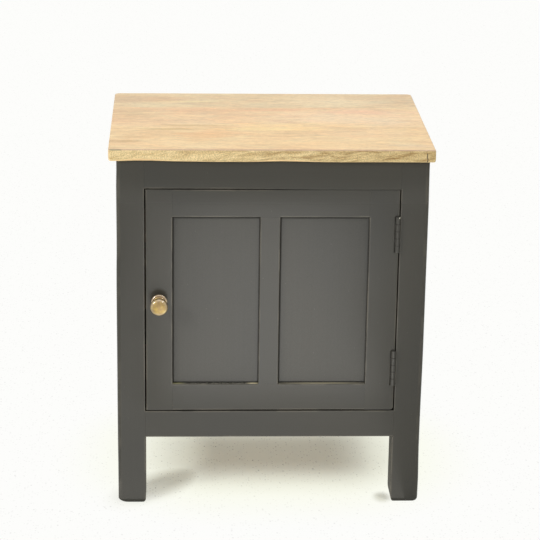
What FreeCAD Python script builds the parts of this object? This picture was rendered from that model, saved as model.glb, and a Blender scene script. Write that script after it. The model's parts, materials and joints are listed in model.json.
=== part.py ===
import FreeCAD, Part
import os
import Sketcher

# One-door bedside cabinet used as a side table: a solid-wood top on a painted, mortised carcass
# with four legs, an inset frame-and-panel door on two butt hinges, a shelf, a floor and a magnetic catch.
# Millimetres. +Z is up, the door faces -Y, and the origin is on the floor, under the middle of the whole.

SIZES = [
    # Top
    ("table_height", "529"),
    ("top_width", "450"),
    ("top_depth", "335"),
    ("top_thickness", "18"),
    ("front_board_share", "0.382"),
    ("middle_board_share", "0.346"),
    ("left_overhang", "9.5"),
    ("right_overhang", "5.8"),
    ("front_overhang", "8"),
    ("rear_overhang", "8"),
    ("top_corner_round", "5"),
    ("top_edge_round", "1.8"),
    ("top_under_round", "2.5"),
    # Legs and rails
    ("leg_width", "39.5"),
    ("leg_depth", "40"),
    ("leg_round", "5"),
    ("foot_round", "4.5"),
    ("rail_thickness", "20"),
    ("top_rail_height", "40"),
    ("bottom_rail_height", "40"),
    ("bottom_rail_level", "101.6"),
    ("tenon_stop", "2"),
    ("tenon_thickness", "8"),
    ("tenon_shoulder", "8"),
    ("tenon_end_gap", "1"),
    ("joint_fit", "0.1"),
    # Side and back panels
    ("panel_thickness", "6"),
    ("panel_recess", "7"),
    ("groove_depth", "7"),
    ("panel_edge_gap", "1"),
    ("panel_fit", "0.1"),
    # Floor, shelf and what carries them
    ("floor_thickness", "12"),
    ("shelf_thickness", "12"),
    ("shelf_level", "298"),
    ("shelf_setback", "6"),
    ("board_fit", "0.5"),
    ("bearer_width", "15"),
    ("bearer_height", "15"),
    ("bearer_panel_gap", "3"),
    ("bearer_housing", "4"),
    ("cleat_width", "15"),
    ("cleat_height", "16"),
    # Wood screws
    ("wood_screw_radius", "1.75"),
    ("wood_screw_head_radius", "3.4"),
    ("screw_bite_share", "0.65"),
    ("screw_end_share", "0.2"),
    ("screw_fit", "0.05"),
    ("screw_end_gap", "0.5"),
    # Door
    ("door_thickness", "20"),
    ("lock_gap", "1.6"),
    ("hinge_gap", "1.2"),
    ("door_top_gap", "1.4"),
    ("door_bottom_gap", "1.6"),
    ("lock_stile_width", "37.4"),
    ("hinge_stile_width", "41.7"),
    ("door_rail_width", "39.5"),
    ("muntin_width", "28.4"),
    ("muntin_shift", "1.2"),
    ("door_panel_thickness", "7"),
    ("door_panel_recess", "6"),
    ("door_groove_depth", "8"),
    ("door_tenon_length", "24"),
    ("door_tenon_shoulder", "8"),
    ("door_corner_round", "4"),
    # Hinges
    ("hinge_length", "52"),
    ("hinge_inset", "38"),
    ("barrel_radius", "3.4"),
    ("barrel_proud", "1.5"),
    ("barrel_relief", "0.8"),
    ("leaf_thickness", "1.4"),
    ("leaf_width", "15"),
    ("leaf_end_fit", "0.3"),
    ("knuckle_gap", "0.3"),
    ("pin_radius", "1.5"),
    ("pin_fit", "0.05"),
    ("pin_end_round", "0.4"),
    ("hinge_screw_spacing", "32"),
    ("small_screw_radius", "1.4"),
    ("small_screw_head_radius", "2.6"),
    ("small_screw_length", "13"),
    # Knob
    ("knob_projection", "27"),
    ("knob_drop", "0.6"),
    ("knob_radius", "12.4"),
    ("knob_head_depth", "12"),
    ("knob_back_slope", "4"),
    ("knob_crown", "2.5"),
    ("knob_rim_round", "2.5"),
    ("knob_back_round", "1.5"),
    ("knob_neck_radius", "5"),
    ("knob_foot_radius", "8.5"),
    ("rosette_radius", "11.4"),
    ("rosette_thickness", "3"),
    ("rosette_round", "1.2"),
    ("knob_screw_radius", "2"),
    ("knob_screw_head_radius", "4.2"),
    ("knob_screw_head_height", "2.4"),
    ("knob_screw_bite", "12"),
    # Magnetic catch and its strike plate
    ("catch_drop", "60"),
    ("catch_length", "46"),
    ("catch_box_length", "26"),
    ("catch_width", "14"),
    ("catch_depth", "15"),
    ("catch_flange", "3"),
    ("catch_gap", "0.3"),
    ("catch_fit", "0.1"),
    ("magnet_length", "18"),
    ("magnet_depth", "11"),
    ("magnet_thickness", "5"),
    ("pole_thickness", "1.2"),
    ("pole_proud", "1"),
    ("strike_margin", "1"),
    ("strike_width", "12"),
    ("strike_length", "34"),
    ("strike_thickness", "1.5"),
]

KNUCKLES = 5

# An edge counts as lying on a face of its piece within this distance
ON_FACE = 1e-5

# Places in the shared frame, worked out from the sizes
CARCASS_LEFT = "(Sizes.left_overhang - Sizes.top_width / 2)"
CARCASS_RIGHT = "(Sizes.top_width / 2 - Sizes.right_overhang)"
CARCASS_DEPTH = "(Sizes.top_depth - Sizes.front_overhang - Sizes.rear_overhang)"
FRONT = "((Sizes.knob_projection + Sizes.front_overhang - Sizes.top_depth) / 2)"
REAR = f"({FRONT} + {CARCASS_DEPTH})"
UNDER_TOP = "(Sizes.table_height - Sizes.top_thickness)"
OPENING_LEFT = f"({CARCASS_LEFT} + Sizes.leg_width)"
OPENING_RIGHT = f"({CARCASS_RIGHT} - Sizes.leg_width)"
OPENING_WIDTH = f"({OPENING_RIGHT} - {OPENING_LEFT})"
OPENING_BOTTOM = "(Sizes.bottom_rail_level + Sizes.bottom_rail_height)"
OPENING_TOP = f"({UNDER_TOP} - Sizes.top_rail_height)"
OPENING_HEIGHT = f"({OPENING_TOP} - {OPENING_BOTTOM})"
RAIL_LEVELS = {
    "bottom": ("Sizes.bottom_rail_level", "Sizes.bottom_rail_height"),
    "top": (OPENING_TOP, "Sizes.top_rail_height"),
}
SIDE_FRONT = f"({FRONT} + Sizes.leg_depth)"
SIDE_LENGTH = f"({CARCASS_DEPTH} - 2 * Sizes.leg_depth)"
TENON_SET = "((Sizes.rail_thickness - Sizes.tenon_thickness) / 2)"
CROSS_TENON = "(Sizes.leg_width - Sizes.rail_thickness - Sizes.tenon_stop)"
SIDE_TENON = "(Sizes.leg_depth - Sizes.rail_thickness - Sizes.tenon_stop)"
PANEL_BACK = "(Sizes.panel_recess + Sizes.panel_thickness)"
PANEL_HOLD = "(Sizes.groove_depth - Sizes.panel_edge_gap)"
PANEL_HEIGHT = f"({OPENING_HEIGHT} + 2 * {PANEL_HOLD})"

DOOR_LEFT = f"({OPENING_LEFT} + Sizes.lock_gap)"
DOOR_RIGHT = f"({OPENING_RIGHT} - Sizes.hinge_gap)"
DOOR_BOTTOM = f"({OPENING_BOTTOM} + Sizes.door_bottom_gap)"
DOOR_TOP = f"({OPENING_TOP} - Sizes.door_top_gap)"
DOOR_HEIGHT = f"({DOOR_TOP} - {DOOR_BOTTOM})"
DOOR_BACK = f"({FRONT} + Sizes.door_thickness)"
DOOR_INNER_LEFT = f"({DOOR_LEFT} + Sizes.lock_stile_width)"
DOOR_INNER_RIGHT = f"({DOOR_RIGHT} - Sizes.hinge_stile_width)"
DOOR_INNER_WIDTH = f"({DOOR_INNER_RIGHT} - {DOOR_INNER_LEFT})"
DOOR_INNER_BOTTOM = f"({DOOR_BOTTOM} + Sizes.door_rail_width)"
DOOR_INNER_HEIGHT = f"({DOOR_HEIGHT} - 2 * Sizes.door_rail_width)"
DOOR_PANEL_HOLD = "(Sizes.door_groove_depth - Sizes.panel_edge_gap)"
PANEL_SIGHT = f"(({DOOR_INNER_WIDTH} - Sizes.muntin_width) / 2)"
MUNTIN_LEFT = f"({DOOR_INNER_LEFT} + {PANEL_SIGHT} - Sizes.muntin_shift)"

HINGE_X = f"({OPENING_RIGHT} - Sizes.barrel_radius)"
HINGE_Y = f"({FRONT} - Sizes.barrel_proud)"
HINGE_FOOT = {
    "upper": f"({DOOR_TOP} - Sizes.hinge_inset - Sizes.hinge_length)",
    "lower": f"({DOOR_BOTTOM} + Sizes.hinge_inset)",
}
HINGE_RISE = f"({HINGE_FOOT['upper']} - {HINGE_FOOT['lower']})"
HINGE_SCREW_SET = "((Sizes.hinge_length - Sizes.hinge_screw_spacing) / 2)"
HINGE_SCREW_BACK = "((Sizes.leaf_width + Sizes.barrel_radius + Sizes.barrel_relief) / 2)"
KNOB_X = f"({DOOR_LEFT} + Sizes.lock_stile_width / 2)"
KNOB_Z = f"({DOOR_BOTTOM} + {DOOR_HEIGHT} / 2 - Sizes.knob_drop)"

CATCH_FRONT = f"({DOOR_BACK} + Sizes.strike_thickness + Sizes.catch_gap + Sizes.pole_proud)"
CATCH_FOOT = f"({DOOR_TOP} - Sizes.catch_drop - Sizes.catch_length / 2)"
CATCH_SCREW_SET = "((Sizes.catch_length - Sizes.catch_box_length) / 4)"
STRIKE_LEFT = f"({DOOR_LEFT} + Sizes.strike_margin)"
STRIKE_SCREW_X = f"({STRIKE_LEFT} + Sizes.strike_width / 2)"
STRIKE_SCREW_Z = f"({DOOR_TOP} - Sizes.catch_drop)"
STRIKE_FOOT = f"({STRIKE_SCREW_Z} - Sizes.strike_length / 2)"

SHELF_UNDER = "(Sizes.shelf_level - Sizes.shelf_thickness)"
CLEAT_FRONT = f"({SIDE_FRONT} + Sizes.board_fit)"
CLEAT_LENGTH = f"({SIDE_LENGTH} - 2 * Sizes.board_fit)"
SMALL_GRIP = "(Sizes.small_screw_length + Sizes.screw_end_gap)"

# Where the edges of the three top boards lie, from front to rear
TOP_FRONT = f"({FRONT} - Sizes.front_overhang)"
TOP_JOINTS = [
    TOP_FRONT,
    f"({TOP_FRONT} + Sizes.top_depth * Sizes.front_board_share)",
    f"({TOP_FRONT} + Sizes.top_depth * (Sizes.front_board_share + Sizes.middle_board_share))",
    f"({REAR} + Sizes.rear_overhang)",
]
CLEAT_SPAN = [CLEAT_FRONT, TOP_JOINTS[1], TOP_JOINTS[2], f"({CLEAT_FRONT} + {CLEAT_LENGTH})"]
TOP_SCREWS = [f"(({CLEAT_SPAN[i]} + {CLEAT_SPAN[i + 1]}) / 2)" for i in range(3)]

# How a turned piece's own +Z axis is laid along each direction of the frame
TOWARD = {
    "+x": FreeCAD.Rotation(FreeCAD.Vector(0, 1, 0), 90),
    "-x": FreeCAD.Rotation(FreeCAD.Vector(0, 1, 0), -90),
    "+y": FreeCAD.Rotation(FreeCAD.Vector(1, 0, 0), -90),
    "-y": FreeCAD.Rotation(FreeCAD.Vector(1, 0, 0), 90),
    "+z": FreeCAD.Rotation(),
}

doc = FreeCAD.newDocument("side_table")
sheet = doc.addObject("Spreadsheet::Sheet", "Sizes")
for row, (alias, number) in enumerate(SIZES, start=1):
    sheet.set(f"A{row}", alias)
    sheet.set(f"B{row}", number)
    sheet.setAlias(f"B{row}", alias)
doc.recompute()


def value(expression):
    """The number that an expression has with the sheet as it is."""
    return float(sheet.evalExpression(expression))


class Piece:
    """One sub-part: a body whose own origin is a corner, or the axis, of the real piece."""

    made = []

    def __init__(self, label, place, toward="+z", solids=1):
        self.body = doc.addObject("PartDesign::Body", label)
        self.body.Label = label
        self.place = place
        self.solids = solids
        self.single = None
        self.body.Placement = FreeCAD.Placement(FreeCAD.Vector(), TOWARD[toward])
        for axis, position in zip("xyz", place):
            self.body.setExpression(f"Placement.Base.{axis}", position)
        Piece.made.append(self)

    def own(self, *place):
        """A place in the shared frame, told from this piece's own origin."""
        return tuple(f"({there}) - ({here})" for there, here in zip(place, self.place))

    def origin_feature(self, role):
        """One of the body's own planes or axes, by its role."""
        return next(item for item in self.body.Origin.OriginFeatures if item.Role == role)

    def sketch(self, role):
        """An empty sketch on one of the body's own planes."""
        sketch = self.body.newObject("Sketcher::SketchObject", "profile")
        sketch.AttachmentSupport = [(self.origin_feature(role), "")]
        sketch.MapMode = "FlatFace"
        return sketch

    def slab(self, width, depth, height):
        """A padded rectangle from the body's origin."""
        sketch = self.sketch("XY_Plane")
        draw(sketch, [("0", "0"), (width, "0"), (width, depth), ("0", depth)])
        pad = self.body.newObject("PartDesign::Pad", "slab")
        pad.Profile = sketch
        pad.setExpression("Length", height)

    def turned(self, corners, arcs=None):
        """A profile turned once round the body's own Z axis."""
        sketch = self.sketch("XZ_Plane")
        draw(sketch, corners, arcs)
        turn = self.body.newObject("PartDesign::Revolution", "turned")
        turn.Profile = sketch
        turn.ReferenceAxis = (sketch, ["V_Axis"])
        turn.Angle = 360

    def primitive(self, kind, place, sizes, toward="+z"):
        """Adds or cuts a primitive with its sizes and its place bound to expressions."""
        feature = self.body.newObject(f"PartDesign::{kind}", kind.lower())
        feature.Placement = FreeCAD.Placement(FreeCAD.Vector(), TOWARD[toward])
        for axis, position in zip("xyz", place):
            feature.setExpression(f"Placement.Base.{axis}", position)
        for name, size in sizes.items():
            feature.setExpression(name, size)
        return feature

    def add_block(self, place, width, depth, height):
        """Adds a box, such as a tenon, at a place told from the body's origin."""
        self.primitive("AdditiveBox", place, {"Length": width, "Width": depth, "Height": height})

    def add_rod(self, radius, height):
        """Adds a round rod that stands on the body's origin."""
        self.primitive("AdditiveCylinder", ("0", "0", "0"), {"Radius": radius, "Height": height})

    def cut_block(self, place, width, depth, height):
        """Cuts a box, such as a mortise or a groove."""
        self.primitive("SubtractiveBox", place, {"Length": width, "Width": depth, "Height": height})

    def bore(self, place, toward, radius, depth):
        """Cuts a round hole that starts at a place and runs in one direction."""
        self.primitive("SubtractiveCylinder", place, {"Radius": radius, "Height": depth}, toward)

    def screw_hole(self, place, toward, screw, depth):
        """Cuts a round hole for a wood, small or knob screw."""
        self.bore(place, toward, f"Sizes.{screw}_screw_radius + Sizes.screw_fit", depth)

    def sunk_hole(self, place, toward, screw, depth):
        """Cuts a screw hole and the cone that the screw's flat head sinks into."""
        self.screw_hole(place, toward, screw, depth)
        head = f"Sizes.{screw}_screw_head_radius"
        shank = f"Sizes.{screw}_screw_radius"
        cone = {
            "Radius1": f"{head} + Sizes.screw_fit",
            "Radius2": f"{shank} + Sizes.screw_fit",
            "Height": f"{head} - {shank}",
        }
        self.primitive("SubtractiveCone", place, cone, toward)

    def round(self, radius, on, off=None):
        """Rounds the edges that lie on all the named outer faces, and on none of those in off."""
        doc.recompute()
        tip = self.body.Tip
        names = [
            f"Edge{number}"
            for number, edge in enumerate(tip.Shape.Edges, start=1)
            if all(lies_on(edge, tip.Shape, face) for face in on)
            and not any(lies_on(edge, tip.Shape, face) for face in off or [])
        ]
        fillet = self.body.newObject("PartDesign::Fillet", "round")
        fillet.Base = (tip, names)
        fillet.setExpression("Radius", radius)

    def round_rim(self, radius, rim_radius, level):
        """Rounds the circular edge that has a given radius and stands at a given level on the axis."""
        doc.recompute()
        tip = self.body.Tip
        names = [
            f"Edge{number}"
            for number, edge in enumerate(tip.Shape.Edges, start=1)
            if abs(edge.BoundBox.ZMin - value(level)) < ON_FACE
            and abs(edge.BoundBox.ZMax - value(level)) < ON_FACE
            and abs(edge.Curve.Radius - value(rim_radius)) < ON_FACE
        ]
        fillet = self.body.newObject("PartDesign::Fillet", "round")
        fillet.Base = (tip, names)
        fillet.setExpression("Radius", radius)

    def repeat(self, role, length, count, back=False, second=None):
        """Repeats the piece's first solid along one axis, or over a grid, as separate solids."""
        doc.recompute()
        self.single = self.single or self.body.Tip
        pattern = self.body.newObject("PartDesign::LinearPattern", "row")
        pattern.Originals = [self.single]
        pattern.Direction = (self.origin_feature(role), [""])
        pattern.Reversed = back
        pattern.setExpression("Length", length)
        pattern.Occurrences = count
        if second:
            pattern.Direction2 = (self.origin_feature(second[0]), [""])
            pattern.Reversed2 = back
            pattern.setExpression("Length2", second[1])
            pattern.Occurrences2 = second[2]
        self.body.Tip = pattern


def lies_on(edge, shape, face):
    """Whether an edge lies on the low or high outer face of a shape, such as -x or +z."""
    axis = face[1].upper()
    bound = "Min" if face[0] == "-" else "Max"
    level = getattr(shape.BoundBox, axis + bound)
    box = edge.BoundBox
    return all(abs(getattr(box, axis + end) - level) < ON_FACE for end in ("Min", "Max"))


def bind_point(sketch, number, end, name, place):
    """Holds one point of a sketch at a place given by two expressions."""
    for letter, axis, expression in zip("xy", (-2, -1), place):
        if expression == "0":
            sketch.addConstraint(Sketcher.Constraint("PointOnObject", number, end, axis))
            continue
        held = Sketcher.Constraint(f"Distance{letter.upper()}", -1, 1, number, end, value(expression))
        index = sketch.addConstraint(held)
        sketch.renameConstraint(index, f"{letter}_{name}")
        sketch.setExpression(f"Constraints.{letter}_{name}", expression)


def draw(sketch, corners, arcs=None):
    """Draws a closed profile through its corners. A side in arcs bows through the point given there."""
    arcs = arcs or {}
    places = [FreeCAD.Vector(value(x), value(y), 0) for x, y in corners]
    starts = []
    for side, start in enumerate(places):
        end = places[(side + 1) % len(places)]
        if side in arcs:
            middle = FreeCAD.Vector(value(arcs[side][0]), value(arcs[side][1]), 0)
            curve = Part.Arc(start, middle, end)
        else:
            curve = Part.LineSegment(start, end)
        sketch.addGeometry(curve, False)
        starts.append(1 if sketch.getPoint(side, 1).isEqual(start, ON_FACE) else 2)
    for side in range(len(places)):
        after = (side + 1) % len(places)
        joined = Sketcher.Constraint("Coincident", side, 3 - starts[side], after, starts[after])
        sketch.addConstraint(joined)
        bind_point(sketch, side, starts[side], f"corner_{side}", corners[side])
    for side, place in arcs.items():
        point = sketch.addGeometry(Part.Point(FreeCAD.Vector(value(place[0]), value(place[1]), 0)), True)
        bind_point(sketch, point, 1, f"bow_{side}", place)
        sketch.addConstraint(Sketcher.Constraint("PointOnObject", point, 1, side))


def cap_point(radius, height):
    """A point half-way out on a round cap: its distance from the axis and its rise above the cap's foot."""
    ball = f"(({radius} ^ 2 + {height} ^ 2) / (2 * {height}))"
    return f"({radius} / 2)", f"(sqrt({ball} ^ 2 - ({radius} / 2) ^ 2) - {ball} + {height})"


def mirrored(flip, whole, start, size):
    """The low end of a stretch that is told from the outer side of a piece on either hand."""
    return f"{whole} - ({start}) - ({size})" if flip else f"{start}"


def countersunk(label, place, toward, screw, length, solids=1):
    """Wood or small screws with flat heads, sunk flush. More than one solid is repeated later."""
    piece = Piece(label, place, toward, solids)
    radius = f"Sizes.{screw}_screw_radius"
    head = f"Sizes.{screw}_screw_head_radius"
    tip = f"({length}) - 2 * {radius}"
    piece.turned([("0", "0"), (head, "0"), (radius, f"{head} - {radius}"), (radius, tip), ("0", length)])
    return piece


def make_top():
    """Three edge-glued boards, with blind holes for the screws that hold them."""
    cleat_line = [
        f"({CARCASS_LEFT} + Sizes.rail_thickness + Sizes.cleat_width / 2)",
        f"({CARCASS_RIGHT} - Sizes.rail_thickness - Sizes.cleat_width / 2)",
    ]
    for index, name in enumerate(("front", "middle", "rear")):
        near, far = TOP_JOINTS[index], TOP_JOINTS[index + 1]
        board = Piece(f"top_board_{name}", ("-Sizes.top_width / 2", near, UNDER_TOP))
        board.slab("Sizes.top_width", f"{far} - {near}", "Sizes.top_thickness")
        glued = {"front": ["+y"], "middle": ["-y", "+y"], "rear": ["-y"]}[name]
        free = {"front": "-y", "rear": "+y"}.get(name)
        if free:
            board.round("Sizes.top_corner_round", ["-x", free])
            board.round("Sizes.top_corner_round", ["+x", free])
        board.round("Sizes.top_edge_round", ["+z"], glued)
        board.round("Sizes.top_under_round", ["-z"], glued)
        for line in cleat_line:
            start = board.own(line, TOP_SCREWS[index], UNDER_TOP)
            bite = "Sizes.screw_bite_share * Sizes.top_thickness"
            board.screw_hole(start, "+z", "wood", f"{bite} + Sizes.screw_end_gap")


def make_leg(end, side):
    """A square leg with its mortises, its grooves and the housing for a shelf bearer."""
    right, rear = side == "right", end == "rear"
    place_x = OPENING_RIGHT if right else CARCASS_LEFT
    place_y = f"{REAR} - Sizes.leg_depth" if rear else FRONT
    leg = Piece(f"leg_{end}_{side}", (place_x, place_y, "0"))
    leg.slab("Sizes.leg_width", "Sizes.leg_depth", UNDER_TOP)
    leg.round("Sizes.leg_round", ["+x" if right else "-x", "+y" if rear else "-y"])
    leg.round("Sizes.foot_round", ["-z"])

    def cut(across, inward, level, width, depth, height):
        low_x = mirrored(right, "Sizes.leg_width", across, width)
        low_y = mirrored(rear, "Sizes.leg_depth", inward, depth)
        leg.cut_block((low_x, low_y, level), width, depth, height)

    cross_depth = f"({CROSS_TENON} + Sizes.tenon_end_gap)"
    side_depth = f"({SIDE_TENON} + Sizes.tenon_end_gap)"
    mortise_width = "(Sizes.tenon_thickness + 2 * Sizes.joint_fit)"
    mortise_set = f"({TENON_SET} - Sizes.joint_fit)"
    for level, rail_height in RAIL_LEVELS.values():
        foot = f"{level} + Sizes.tenon_shoulder - Sizes.joint_fit"
        height = f"{rail_height} - 2 * Sizes.tenon_shoulder + 2 * Sizes.joint_fit"
        cut(f"Sizes.leg_width - {cross_depth}", mortise_set, foot, cross_depth, mortise_width, height)
        cut(mortise_set, f"Sizes.leg_depth - {side_depth}", foot, mortise_width, side_depth, height)

    groove_set = "(Sizes.panel_recess - Sizes.panel_fit)"
    groove_width = "(Sizes.panel_thickness + 2 * Sizes.panel_fit)"
    groove_foot = f"{OPENING_BOTTOM} - Sizes.groove_depth"
    groove_height = f"{OPENING_HEIGHT} + 2 * Sizes.groove_depth"
    reach = "Sizes.groove_depth"
    cut(groove_set, f"Sizes.leg_depth - {reach}", groove_foot, groove_width, reach, groove_height)
    if rear:
        cut(f"Sizes.leg_width - {reach}", groove_set, groove_foot, reach, groove_width, groove_height)

    housing = "(Sizes.bearer_width + 2 * Sizes.joint_fit)"
    cut(
        f"{PANEL_BACK} + Sizes.bearer_panel_gap - Sizes.joint_fit",
        "Sizes.leg_depth - Sizes.bearer_housing",
        f"{SHELF_UNDER} - Sizes.bearer_height",
        housing,
        "Sizes.bearer_housing",
        "Sizes.bearer_height",
    )
    return leg


def make_legs():
    """Four legs. The front ones also take the screws of the hinges and of the catch."""
    for end in ("front", "rear"):
        for side in ("left", "right"):
            leg = make_leg(end, side)
            if (end, side) == ("front", "right"):
                for foot in HINGE_FOOT.values():
                    for step in ("0", "Sizes.hinge_screw_spacing"):
                        level = f"{foot} + {HINGE_SCREW_SET} + {step}"
                        start = leg.own(OPENING_RIGHT, f"{HINGE_Y} + {HINGE_SCREW_BACK}", level)
                        leg.screw_hole(start, "+x", "small", SMALL_GRIP)
            if (end, side) == ("front", "left"):
                for step in (CATCH_SCREW_SET, f"Sizes.catch_length - {CATCH_SCREW_SET}"):
                    place_y = f"{CATCH_FRONT} + Sizes.catch_depth / 2"
                    start = leg.own(OPENING_LEFT, place_y, f"{CATCH_FOOT} + {step}")
                    leg.screw_hole(start, "-x", "small", SMALL_GRIP)


def make_cross_rails():
    """Front and rear rails, tenoned into the legs. The rear ones are grooved for the back panel."""
    for end in ("front", "rear"):
        for name, (level, height) in RAIL_LEVELS.items():
            place_y = FRONT if end == "front" else f"{REAR} - Sizes.rail_thickness"
            rail = Piece(f"{end}_{name}_rail", (OPENING_LEFT, place_y, level))
            rail.slab(OPENING_WIDTH, "Sizes.rail_thickness", height)
            for start in (f"-{CROSS_TENON}", OPENING_WIDTH):
                rail.add_block(
                    (start, TENON_SET, "Sizes.tenon_shoulder"),
                    CROSS_TENON,
                    "Sizes.tenon_thickness",
                    f"{height} - 2 * Sizes.tenon_shoulder",
                )
            if end == "rear":
                rail.cut_block(
                    (
                        "0",
                        f"Sizes.rail_thickness - {PANEL_BACK} - Sizes.panel_fit",
                        "0" if name == "top" else f"{height} - Sizes.groove_depth",
                    ),
                    OPENING_WIDTH,
                    "Sizes.panel_thickness + 2 * Sizes.panel_fit",
                    "Sizes.groove_depth",
                )


def side_screw_steps():
    """How far along a bearer or cleat its two screws into the rail stand."""
    return (f"{CLEAT_LENGTH} * Sizes.screw_end_share", f"{CLEAT_LENGTH} * (1 - Sizes.screw_end_share)")


def make_side(side):
    """One side: two tenoned rails, a panel, and the strips screwed to the rails with their screws."""
    right = side == "right"
    low_x = f"({CARCASS_RIGHT} - Sizes.rail_thickness)" if right else CARCASS_LEFT
    inner = low_x if right else f"({CARCASS_LEFT} + Sizes.rail_thickness)"
    outward = "+x" if right else "-x"
    floor_under = f"({OPENING_BOTTOM} - Sizes.floor_thickness)"
    strips = {
        "top": ("top_cleat", "Sizes.cleat_width", "Sizes.cleat_height", UNDER_TOP),
        "bottom": ("floor_bearer", "Sizes.bearer_width", "Sizes.bearer_height", floor_under),
    }
    for name, (strip_name, width, strip_height, strip_top) in strips.items():
        level, height = RAIL_LEVELS[name]
        rail = Piece(f"{side}_{name}_rail", (low_x, SIDE_FRONT, level))
        rail.slab("Sizes.rail_thickness", SIDE_LENGTH, height)
        for start in (f"-{SIDE_TENON}", SIDE_LENGTH):
            rail.add_block(
                (TENON_SET, start, "Sizes.tenon_shoulder"),
                "Sizes.tenon_thickness",
                SIDE_TENON,
                f"{height} - 2 * Sizes.tenon_shoulder",
            )
        groove_width = "(Sizes.panel_thickness + 2 * Sizes.panel_fit)"
        groove_set = "Sizes.panel_recess - Sizes.panel_fit"
        rail.cut_block(
            (
                mirrored(right, "Sizes.rail_thickness", groove_set, groove_width),
                "0",
                "0" if name == "top" else f"{height} - Sizes.groove_depth",
            ),
            groove_width,
            SIDE_LENGTH,
            "Sizes.groove_depth",
        )
        screw_level = f"({strip_top} - {strip_height} / 2)"
        bite = "Sizes.screw_bite_share * Sizes.rail_thickness"
        for step in side_screw_steps():
            start = rail.own(inner, f"{CLEAT_FRONT} + {step}", screw_level)
            rail.screw_hole(start, outward, "wood", f"{bite} + Sizes.screw_end_gap")

        strip_x = f"{inner} - {width}" if right else inner
        strip = Piece(f"{strip_name}_{side}", (strip_x, CLEAT_FRONT, f"{strip_top} - {strip_height}"))
        strip.slab(width, CLEAT_LENGTH, strip_height)
        head_x = strip_x if right else f"{inner} + {width}"
        for step in side_screw_steps():
            start = strip.own(head_x, f"{CLEAT_FRONT} + {step}", screw_level)
            strip.sunk_hole(start, outward, "wood", width)
        if name == "top":
            for line in TOP_SCREWS:
                start = strip.own(f"{strip_x} + {width} / 2", line, f"{strip_top} - {strip_height}")
                strip.sunk_hole(start, "+z", "wood", strip_height)

        first, last = side_screw_steps()
        screws = countersunk(
            f"{strip_name}_screws_{side}",
            (head_x, f"{CLEAT_FRONT} + {first}", screw_level),
            outward,
            "wood",
            f"({width} + {bite})",
            solids=2,
        )
        screws.repeat("Y_Axis", f"{last} - {first}", 2)

    panel_x = f"{CARCASS_RIGHT} - {PANEL_BACK}" if right else f"{CARCASS_LEFT} + Sizes.panel_recess"
    place = (panel_x, f"{SIDE_FRONT} - {PANEL_HOLD}", f"{OPENING_BOTTOM} - {PANEL_HOLD}")
    panel = Piece(f"{side}_side_panel", place)
    panel.slab("Sizes.panel_thickness", f"{SIDE_LENGTH} + 2 * {PANEL_HOLD}", PANEL_HEIGHT)


def make_back():
    """The back panel, loose in its grooves."""
    place = (f"{OPENING_LEFT} - {PANEL_HOLD}", f"{REAR} - {PANEL_BACK}", f"{OPENING_BOTTOM} - {PANEL_HOLD}")
    panel = Piece("back_panel", place)
    panel.slab(f"{OPENING_WIDTH} + 2 * {PANEL_HOLD}", "Sizes.panel_thickness", PANEL_HEIGHT)


def notched_board(label, place, width, depth, thickness, notch_width, front_notch, rear_notch):
    """A board whose four corners are cut out round the legs."""
    board = Piece(label, place)
    board.slab(width, depth, thickness)
    for low_x in ("0", f"{width} - ({notch_width})"):
        board.cut_block((low_x, "0", "0"), notch_width, front_notch, thickness)
        board.cut_block((low_x, f"{depth} - ({rear_notch})", "0"), notch_width, rear_notch, thickness)
    return board


def make_floor():
    """The cabinet's floor, level with the bottom rails."""
    edge = "(Sizes.rail_thickness + Sizes.board_fit)"
    notch_width = "Sizes.leg_width - Sizes.rail_thickness"
    notch_depth = "Sizes.leg_depth - Sizes.rail_thickness"
    notched_board(
        "floor_board",
        (f"{CARCASS_LEFT} + {edge}", f"{FRONT} + {edge}", f"{OPENING_BOTTOM} - Sizes.floor_thickness"),
        f"({CARCASS_RIGHT} - {CARCASS_LEFT} - 2 * {edge})",
        f"({CARCASS_DEPTH} - 2 * {edge})",
        "Sizes.floor_thickness",
        notch_width,
        notch_depth,
        notch_depth,
    )


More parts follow.
